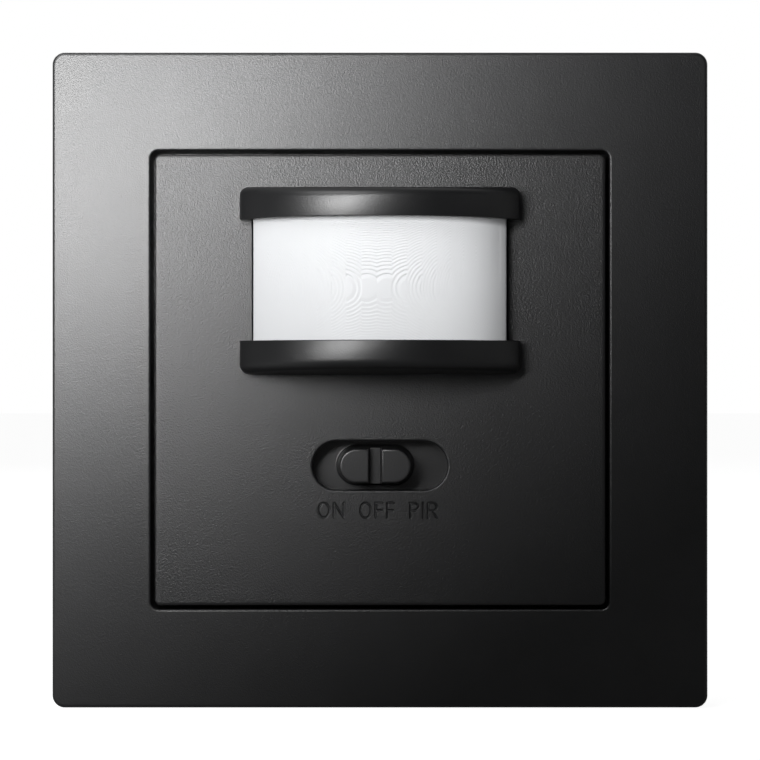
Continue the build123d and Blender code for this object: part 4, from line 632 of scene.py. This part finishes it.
def build_knob():
    """Tapered stadium with a groove across it, on the shutter plate with its two prongs."""
    half = 2 * GRIP_STEPS + 1
    turn = np.linspace(-np.pi / 2, np.pi / 2, half)
    levels, floor = grip_levels()
    rings = []
    for inset, groove, f in levels:
        end_r = GRIP_HALF_H - inset
        x_end = GRIP_HALF_W - GRIP_HALF_H + end_r * np.cos(turn)
        z_end = end_r * np.sin(turn)
        x = [*x_end, groove, -groove, *-x_end, -groove, groove]
        z = [*z_end, end_r, end_r, *-z_end, -end_r, -end_r]
        rings.append(np.stack([GRIP_X + np.array(x), np.full(len(x), f), SLOT_Z + np.array(z)], -1))
    count = len(rings[0])
    right_top, left_top = half, half + 1
    left_low, right_low = 2 * half + 2, 2 * half + 3
    faces = [list(range(count))]
    for ring in range(len(rings) - 1):
        lower, upper = ring * count, (ring + 1) * count
        for number in range(count):
            if ring < floor or number not in (right_top, left_low):
                after = (number + 1) % count
                faces.append([lower + number, lower + after, upper + after, upper + number])
        if ring >= floor:
            for top, low in ((right_top, right_low), (left_top, left_low)):
                faces.append([lower + top, lower + low, upper + low, upper + top])
    faces.append([floor * count + number for number in (right_top, left_top, left_low, right_low)])
    last = (len(rings) - 1) * count
    faces.append([last + number for number in [*range(0, right_top + 1), right_low]])
    faces.append([last + number for number in range(left_top, left_low + 1)])
    grip = (np.concatenate(rings), faces)
    edge = SHUTTER_EDGE_R
    sheet = [(edge, SHUTTER_CORNER_R - edge, SHUTTER_BACK), (0, SHUTTER_CORNER_R, SHUTTER_BACK + edge),
             (0, SHUTTER_CORNER_R, SHUTTER_FRONT - edge), (edge, SHUTTER_CORNER_R - edge, SHUTTER_FRONT)]
    points, sides = loop_shell(sheet, (SHUTTER_HALF_W, SHUTTER_HALF_H), (KNOB_X, SLOT_Z))
    shutter = lidded(points, sides, len(sheet), len(points) // len(sheet))
    prongs = [block((KNOB_X + side * PRONG_X - PRONG_HALF_W, KNOB_X + side * PRONG_X + PRONG_HALF_W),
                    (PRONG_END, SHUTTER_BACK + edge), (SLOT_Z - PRONG_HALF_H, SLOT_Z + PRONG_HALF_H))
              for side in (-1, 1)]
    return make_piece("mode_knob_body", [grip, shutter, *prongs])


class Graph:
    """A node tree being written: add() places a node, sets its options and joins its inputs."""

    def __init__(self, tree):
        self.tree = tree

    def add(self, kind, inputs=(), **options):
        node = self.tree.nodes.new("ShaderNode" + kind)
        for option, value in options.items():
            setattr(node, option, value)
        for socket, value in dict(inputs).items():
            if isinstance(value, bpy.types.NodeSocket):
                self.tree.links.new(value, node.inputs[socket])
            else:
                node.inputs[socket].default_value = value
        return node

    def maths(self, operation, *values):
        return self.add("Math", dict(enumerate(values)), operation=operation).outputs[0]

    def span(self, value, low, high, to_low=0.0, to_high=1.0):
        """Value spread from low..high to to_low..to_high and held there."""
        node = self.add("MapRange", {0: value, 1: low, 2: high, 3: to_low, 4: to_high})
        return node.outputs[0]

    def blend(self, share, first, second):
        """Colour between first and second."""
        node = self.add("Mix", {0: share, 6: first, 7: second}, data_type="RGBA")
        return node.outputs[2]


def new_group(name, inputs, outputs):
    """Empty shader node group whose named inputs and outputs are numbers."""
    tree = bpy.data.node_groups.new(name, "ShaderNodeTree")
    for label, value in inputs.items():
        socket = tree.interface.new_socket(label, in_out="INPUT", socket_type="NodeSocketFloat")
        socket.default_value = value
    for label in outputs:
        tree.interface.new_socket(label, in_out="OUTPUT", socket_type="NodeSocketFloat")
    graph = Graph(tree)
    return graph, tree.nodes.new("NodeGroupInput").outputs, tree.nodes.new("NodeGroupOutput").inputs


def make_grain_group():
    """Spark-eroded mould grain: small pits and their slow change over the surface."""
    graph, given, out = new_group("mould grain", {"Size": 0.2, "Softness": 0.5}, ["Height", "Tone"])
    place = graph.add("TexCoord").outputs["Object"]
    per_metre = graph.maths("DIVIDE", 1 / MM, given["Size"])
    pits = graph.add("TexNoise", {"Vector": place, "Scale": per_metre, "Detail": 2.0,
                                  "Roughness": given["Softness"]})
    few = graph.maths("MULTIPLY", per_metre, GRAIN_SLOW_SHARE)
    slow = graph.add("TexNoise", {"Vector": place, "Scale": few, "Detail": 3.0})
    graph.tree.links.new(pits.outputs[0], out["Height"])
    graph.tree.links.new(graph.span(slow.outputs[0], *NOISE_SPREAD), out["Tone"])
    return graph.tree


def make_rubbed_group():
    """Faint rubbed patches, as a mask between 0 and 1."""
    graph, given, out = new_group("rubbed", {"Patch": RUBBED_PATCH}, ["Rubbed"])
    place = graph.add("TexCoord").outputs["Object"]
    patch = graph.add("TexNoise", {"Vector": place, "Scale": graph.maths("DIVIDE", 1 / MM, given["Patch"]),
                                   "Detail": 4.0, "Roughness": 0.6})
    graph.tree.links.new(graph.span(patch.outputs[0], *RUBBED_SPREAD), out["Rubbed"])
    return graph.tree


def make_drawn_group():
    """Drawing lines of rolled or turned metal along one axis, and the cloudy change of its plating."""
    graph, given, out = new_group("drawn metal", {"Line": 0.15, "Across X": 1.0, "Across Z": 1.0},
                                  ["Lines", "Cloud"])
    place = graph.add("TexCoord").outputs["Object"]
    squeeze = graph.add("CombineXYZ", {0: given["Across X"], 1: 1.0, 2: given["Across Z"]}).outputs[0]
    along = graph.add("VectorMath", {0: place, 1: squeeze}, operation="MULTIPLY").outputs[0]
    lines = graph.add("TexNoise", {"Vector": along, "Scale": graph.maths("DIVIDE", 1 / MM, given["Line"]),
                                   "Detail": 3.0, "Roughness": 0.6})
    cloud = graph.add("TexNoise", {"Vector": place, "Scale": PLATING_SCALE, "Detail": 4.0,
                                   "Roughness": 0.55})
    graph.tree.links.new(lines.outputs[0], out["Lines"])
    graph.tree.links.new(graph.span(cloud.outputs[0], *PLATING_SPREAD), out["Cloud"])
    return graph.tree


GRAIN = make_grain_group()
RUBBED = make_rubbed_group()
DRAWN = make_drawn_group()


def new_material(name):
    """Material with only its output and a Principled BSDF, and the graph to go on with."""
    material = bpy.data.materials.new(name)
    material.use_nodes = True
    tree = material.node_tree
    tree.nodes.clear()
    graph = Graph(tree)
    shader = graph.add("BsdfPrincipled")
    out = graph.add("OutputMaterial")
    tree.links.new(shader.outputs[0], out.inputs[0])
    return material, graph, shader


def use_group(graph, tree, **values):
    """Places a group with its own values and gives its outputs by name."""
    node = graph.tree.nodes.new("ShaderNodeGroup")
    node.node_tree = tree
    for label, value in values.items():
        node.inputs[label.replace("_", " ")].default_value = value
    return node.outputs


def moulded(name, colour, paler, rough, grain=0.2, depth=0.3, ior=1.5, rough_change=0.03):
    """Moulded plastic: mould grain in height and tone, rubbed patches in gloss."""
    material, graph, shader = new_material(name)
    pits = use_group(graph, GRAIN, Size=grain)
    marks = use_group(graph, RUBBED, Patch=RUBBED_PATCH)
    tone = graph.blend(pits["Tone"], (*colour, 1), (*paler, 1))
    graph.tree.links.new(tone, shader.inputs["Base Color"])
    gloss = graph.span(marks["Rubbed"], 0, 1, rough + rough_change / 2, rough - rough_change / 2)
    graph.tree.links.new(gloss, shader.inputs["Roughness"])
    bump = graph.add("Bump", {"Height": pits["Height"], "Strength": 1.0, "Distance": depth * GRAIN_UNIT * MM})
    graph.tree.links.new(bump.outputs[0], shader.inputs["Normal"])
    shader.inputs["IOR"].default_value = ior
    return material


def metal(name, colour, paler, rough, line=0.15, across=(1.0, 1.0), depth=0.25):
    """Rolled, turned or plated metal: drawing lines in height, plating clouds in colour and gloss."""
    material, graph, shader = new_material(name)
    drawn = use_group(graph, DRAWN, Line=line, Across_X=across[0], Across_Z=across[1])
    tone = graph.blend(drawn["Cloud"], (*colour, 1), (*paler, 1))
    graph.tree.links.new(tone, shader.inputs["Base Color"])
    gloss = graph.span(drawn["Cloud"], 0, 1, rough + PLATING_GLOSS_CHANGE, rough - PLATING_GLOSS_CHANGE)
    graph.tree.links.new(gloss, shader.inputs["Roughness"])
    bump = graph.add("Bump", {"Height": drawn["Lines"], "Strength": depth, "Distance": METAL_RELIEF * MM})
    graph.tree.links.new(bump.outputs[0], shader.inputs["Normal"])
    shader.inputs["Metallic"].default_value = 1.0
    return material


def milky_lens():
    """Milky polyethylene. Light spreads inside the sheet, so its matt part is shaded with a normal drawn
    towards the front, while the gloss of its skin follows the surface."""
    material, graph, shader = new_material("milky lens")
    pits = use_group(graph, GRAIN, Size=0.3)
    tone = graph.blend(pits["Tone"], (*MILK, 1), (*MILK_PALER, 1))
    graph.tree.links.new(tone, shader.inputs["Base Color"])
    place = graph.add("TexCoord").outputs["Object"]
    radial = graph.add("VectorMath", {0: place, 1: (0.0, BOW_AXIS * MM, 0.0)}, operation="ADD").outputs[0]
    radial = graph.add("VectorMath", {0: radial, 1: (1.0, 1.0, 0.0)}, operation="MULTIPLY").outputs[0]
    radial = graph.add("VectorMath", {0: radial}, operation="NORMALIZE").outputs[0]
    drawn = graph.add("VectorMath", {0: (0.0, -1.0, 0.0), 1: radial}, operation="SUBTRACT").outputs[0]
    drawn = graph.add("VectorTransform", {0: drawn}, vector_type="VECTOR", convert_from="OBJECT",
                      convert_to="WORLD").outputs[0]
    drawn = graph.add("VectorMath", {0: drawn, 3: MILK_DRAW}, operation="SCALE").outputs[0]
    surface = graph.add("NewGeometry").outputs["Normal"]
    spread = graph.add("VectorMath", {0: surface, 1: drawn}, operation="ADD").outputs[0]
    soft = graph.add("VectorMath", {0: spread}, operation="NORMALIZE").outputs[0]
    graph.tree.links.new(soft, shader.inputs["Normal"])
    gloss = graph.span(pits["Height"], *NOISE_SPREAD, *MILK_COAT_ROUGHNESS)
    graph.tree.links.new(gloss, shader.inputs["Coat Roughness"])
    shader.inputs["Coat Weight"].default_value = MILK_COAT
    shader.inputs["Coat IOR"].default_value = MILK_COAT_IOR
    shader.inputs["Specular IOR Level"].default_value = MILK_SPECULAR
    shader.inputs["Roughness"].default_value = MILK_ROUGHNESS
    return material


def circuit_board():
    """Green solder mask over copper lines, which run one way or the other by cells of a Voronoi
    pattern."""
    material, graph, shader = new_material("circuit board")
    place = graph.add("TexCoord").outputs["Object"]
    axes = graph.add("SeparateXYZ", {0: place}).outputs
    cells = graph.add("TexVoronoi", {"Vector": place, "Scale": BOARD_CELLS}, distance="CHEBYCHEV")
    choice = graph.add("SeparateColor", {0: cells.outputs[1]}).outputs
    lines = []
    for axis in (axes[0], axes[2]):
        wave = graph.maths("PINGPONG", graph.maths("DIVIDE", axis, TRACK_PITCH / 2 * MM), 1.0)
        lines.append(graph.span(wave, *TRACK_EDGE, 1.0, 0.0))
    upright = graph.maths("GREATER_THAN", choice[0], 0.5)
    copper = graph.maths("ADD", graph.maths("MULTIPLY", lines[0], upright),
                         graph.maths("MULTIPLY", lines[1], graph.maths("SUBTRACT", 1.0, upright)))
    marks = use_group(graph, RUBBED, Patch=BOARD_PATCH)
    mask = graph.blend(copper, BOARD_MASK, BOARD_TRACK)
    tone = graph.blend(graph.maths("MULTIPLY", marks["Rubbed"], BOARD_RUBBED_SHARE), mask, BOARD_RUBBED)
    graph.tree.links.new(tone, shader.inputs["Base Color"])
    graph.tree.links.new(graph.span(copper, 0, 1, *BOARD_ROUGHNESS), shader.inputs["Roughness"])
    bump = graph.add("Bump", {"Height": copper, "Strength": 0.5, "Distance": TRACK_RELIEF * MM})
    graph.tree.links.new(bump.outputs[0], shader.inputs["Normal"])
    return material


def make_finishes():
    """One material for each of the record's slots, and a smoother black for the brims, darker as painted
    shade.
    """
    black, black_paler = (0.0065, 0.0067, 0.0073), (0.0085, 0.0087, 0.0095)
    # Darker black for the brims: painted shade on their ends and undersides
    brim_painted_shade_black, brim_painted_shade_paler = (0.0045, 0.0047, 0.0053), (0.0060, 0.0062, 0.0068)
    # Lighter black for the knob and its shutter: painted light on them
    knob, knob_paler = (0.012, 0.012, 0.013), (0.014, 0.014, 0.015)
    return {
        "frame_plastic": moulded("frame black", black, black_paler, 0.38, 0.15, 1.3, 1.66, 0.01),
        "plate_plastic": moulded("plate black", black, black_paler, 0.38, 0.16, 2.6, 1.66, 0.01),
        # Brims: a darker black than the plate's, as painted shade
        "brims": moulded("brim black with painted shade", brim_painted_shade_black, brim_painted_shade_paler, 0.375, 0.2, 0.8, 1.66, 0.01),
        # Knob and shutter: a lighter black than the plate's, as painted light
        "knob_plastic": moulded("knob black with painted light", knob, knob_paler, 0.35, 0.16, 0.8, 1.74),
        "lens_plastic": milky_lens(),
        "inner_plastic": moulded("inner black", (0.020, 0.020, 0.022), (0.030, 0.030, 0.032), 0.5, 0.25, 0.4),
        "housing_plastic": moulded("housing grey", (0.50, 0.51, 0.50), (0.56, 0.57, 0.56), 0.45, 0.3, 0.35),
        "ring_steel": metal("zinc ring", (0.60, 0.62, 0.65), (0.72, 0.73, 0.74), 0.34, 0.2, (1, 0.1)),
        "claw_steel": metal("claw steel", (0.50, 0.51, 0.53), (0.62, 0.63, 0.64), 0.38, 0.12, (0.2, 1)),
        "screw_steel": metal("screw steel", (0.58, 0.58, 0.58), (0.70, 0.70, 0.69), 0.26, 0.08),
        "nut_brass": metal("nut brass", (0.66, 0.48, 0.20), (0.80, 0.62, 0.32), 0.30, 0.1),
        "board": circuit_board(),
        "can_metal": metal("can metal", (0.66, 0.65, 0.62), (0.74, 0.73, 0.70), 0.24, 0.1),
        "filter_window": moulded("filter window", (0.05, 0.035, 0.04), (0.07, 0.05, 0.05),
                                 0.08, 0.4, 0.02, 1.9),
        "clear_resin": moulded("clear resin", (0.70, 0.74, 0.76), (0.80, 0.84, 0.86), 0.12, 0.4, 0.03),
        "tinned_wire": metal("tinned wire", (0.68, 0.68, 0.66), (0.80, 0.80, 0.78), 0.30, 0.06),
        "switch_metal": metal("switch metal", (0.62, 0.62, 0.60), (0.74, 0.74, 0.72), 0.30, 0.1, (1, 0.2)),
        "black_resin": moulded("black resin", (0.018, 0.018, 0.018), (0.028, 0.028, 0.028), 0.42, 0.15, 0.4),
        "trimmer_plastic": moulded("trimmer blue", (0.03, 0.10, 0.40), (0.04, 0.13, 0.46), 0.38, 0.2, 0.2),
        "rotor_plastic": moulded("rotor white", (0.72, 0.71, 0.66), (0.78, 0.77, 0.72), 0.42, 0.2, 0.2),
        "chip_ceramic": moulded("chip ceramic", (0.38, 0.31, 0.23), (0.46, 0.38, 0.30), 0.5, 0.1, 0.4),
        "capacitor_sleeve": moulded("capacitor sleeve", (0.02, 0.022, 0.06), (0.03, 0.034, 0.08),
                                    0.28, 0.3, 0.1),
        "relay_plastic": moulded("relay blue", (0.02, 0.045, 0.10), (0.03, 0.06, 0.13), 0.36, 0.25, 0.25),
        "coil_copper": metal("coil copper", (0.56, 0.20, 0.06), (0.72, 0.30, 0.11), 0.32, 0.1, (1, 1), 0.6),
        "soft_iron": metal("soft iron", (0.42, 0.42, 0.42), (0.52, 0.52, 0.51), 0.42, 0.15),
        "contact_alloy": metal("contact alloy", (0.68, 0.54, 0.32), (0.82, 0.70, 0.48), 0.28, 0.1),
        "film_case": moulded("film case", (0.62, 0.46, 0.07), (0.70, 0.54, 0.11), 0.34, 0.3, 0.15),
        "varistor_coat": moulded("varistor coat", (0.06, 0.14, 0.40), (0.09, 0.19, 0.48), 0.36, 0.6, 0.5),
        "resistor_coat": moulded("resistor coat", (0.40, 0.46, 0.40), (0.48, 0.54, 0.48), 0.5, 0.3, 0.4),
        "terminal_plastic": moulded("terminal grey", (0.06, 0.06, 0.064), (0.08, 0.08, 0.085),
                                    0.46, 0.25, 0.3),
    }


def set_stage():
    """Pale floor under the object. It is seen as white, keeps shadows, and is clear from below."""
    mesh = bpy.data.meshes.new("floor")
    level = -(FRAME_HALF + FLOOR_GAP) * MM
    half = FLOOR_HALF * MM
    corners = [(x * half, y * half, level) for x, y in ((-1, -1), (1, -1), (1, 1), (-1, 1))]
    mesh.from_pydata(corners, [], [(0, 1, 2, 3)])
    floor = bpy.data.objects.new("floor", mesh)
    bpy.context.scene.collection.objects.link(floor)
    material = bpy.data.materials.new("pale floor")
    material.use_nodes = True
    tree = material.node_tree
    tree.nodes.clear()
    graph = Graph(tree)
    rays = graph.add("LightPath").outputs
    place = graph.add("TexCoord").outputs["Object"]
    into_wall = graph.add("SeparateXYZ", {0: place}).outputs[1]
    mirrored = graph.maths("MULTIPLY", rays["Is Glossy Ray"], graph.span(into_wall, *FLOOR_MIRRORED_FROM_TO))
    seen = graph.maths("MAXIMUM", graph.maths("MAXIMUM", rays["Is Camera Ray"], mirrored),
                       rays["Is Transmission Ray"])
    matt = graph.add("BsdfDiffuse", {"Color": (FLOOR_GREY, FLOOR_GREY, FLOOR_GREY, 1)}).outputs[0]
    shine = graph.add("Emission", {"Strength": graph.maths("MULTIPLY", seen, FLOOR_SHINE)}).outputs[0]
    both = graph.add("AddShader", {0: matt, 1: shine}).outputs[0]
    clear = graph.add("BsdfTransparent").outputs[0]
    behind = graph.add("NewGeometry").outputs["Backfacing"]
    mixed = graph.add("MixShader", {0: behind, 1: both, 2: clear}).outputs[0]
    out = graph.add("OutputMaterial")
    tree.links.new(mixed, out.inputs[0])
    mesh.materials.append(material)


def set_world():
    """White to the camera. Gloss sees white behind the object and a dim room in front of it, and matt
    surfaces get an even fill."""
    world = bpy.data.worlds.new("studio")
    bpy.context.scene.world = world
    world.use_nodes = True
    tree = world.node_tree
    tree.nodes.clear()
    graph = Graph(tree)
    rays = graph.add("LightPath").outputs
    direction = graph.add("TexCoord").outputs["Generated"]
    into_wall = graph.add("SeparateXYZ", {0: direction}).outputs[1]
    gloss_level = graph.span(into_wall, *GLOSS_FROM_TO, GLOSS_IN_FRONT, 1.0)
    level = graph.add("Mix", {0: rays["Is Glossy Ray"], 2: MATT_FILL, 3: gloss_level}).outputs[0]
    seen = graph.maths("MAXIMUM", rays["Is Camera Ray"], rays["Is Transmission Ray"])
    level = graph.add("Mix", {0: seen, 2: level, 3: 1.0}).outputs[0]
    sky = graph.add("Background", {"Color": (1, 1, 1, 1), "Strength": level})
    out = graph.add("OutputWorld")
    tree.links.new(sky.outputs[0], out.inputs[0])


def add_lamp(name, place, towards, size, radiance):
    """Rectangular lamp, unseen by the camera. Its power in watts is pi times radiance times area."""
    light = bpy.data.lights.new(name, "AREA")
    light.shape = "RECTANGLE"
    light.size, light.size_y = size
    light.energy = radiance * math.pi * size[0] * size[1]
    lamp = bpy.data.objects.new(name, light)
    bpy.context.scene.collection.objects.link(lamp)
    lamp.location = place
    lamp.rotation_mode = "QUATERNION"
    lamp.rotation_quaternion = (Vector(towards) - Vector(place)).to_track_quat("-Z", "Y")
    lamp.visible_camera = False


def set_lights_and_camera():
    """Long soft key on the upper left turned partly away, a soft lamp higher up beside it, a weak fill on
    the right and one behind."""
    for lamp in LAMPS:
        add_lamp(*lamp)
    data = bpy.data.cameras.new("camera")
    data.sensor_width = SENSOR
    data.lens = SENSOR * VIEW_DISTANCE / VIEW_WIDTH
    data.clip_start = NEAREST_SEEN * MM
    camera = bpy.data.objects.new("camera", data)
    bpy.context.scene.collection.objects.link(camera)
    camera.location = (0.0, -(FRAME_FRONT + VIEW_DISTANCE) * MM, 0.0)
    camera.rotation_euler = (math.pi / 2, 0.0, 0.0)
    bpy.context.scene.camera = camera


set_lights_and_camera()
set_world()
set_stage()
bpy.context.scene.view_settings.view_transform = "Standard"

FINISHES = make_finishes()
for part in frame["record"]["subparts"]:
    mesh = frame["nodes"][part["node"]].data
    mesh.materials.clear()
    mesh.materials.append(FINISHES[part["material_slot"]])

MADE = [
    (build_cover_frame(), "root", "frame_plastic", "frame_plastic", "cover_frame"),
    (build_centre_plate(), "root", "plate_plastic", "plate_plastic", "centre_plate"),
    # The brims take the darker black, which is painted shade
    (build_brim("upper_brim", 1), "root", "plate_plastic", "brims", "centre_plate"),
    (build_brim("lower_brim", -1), "root", "plate_plastic", "brims", "centre_plate"),
    (build_lens(), "root", "lens_plastic", "lens_plastic", "fresnel_lens"),
    (build_knob(), "mode_slider", "knob_plastic", "knob_plastic", "mode_knob"),
]
for piece, body, slot, finish, node in MADE:
    piece.data.materials.append(FINISHES[finish])
    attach(piece, body)
    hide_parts(node)
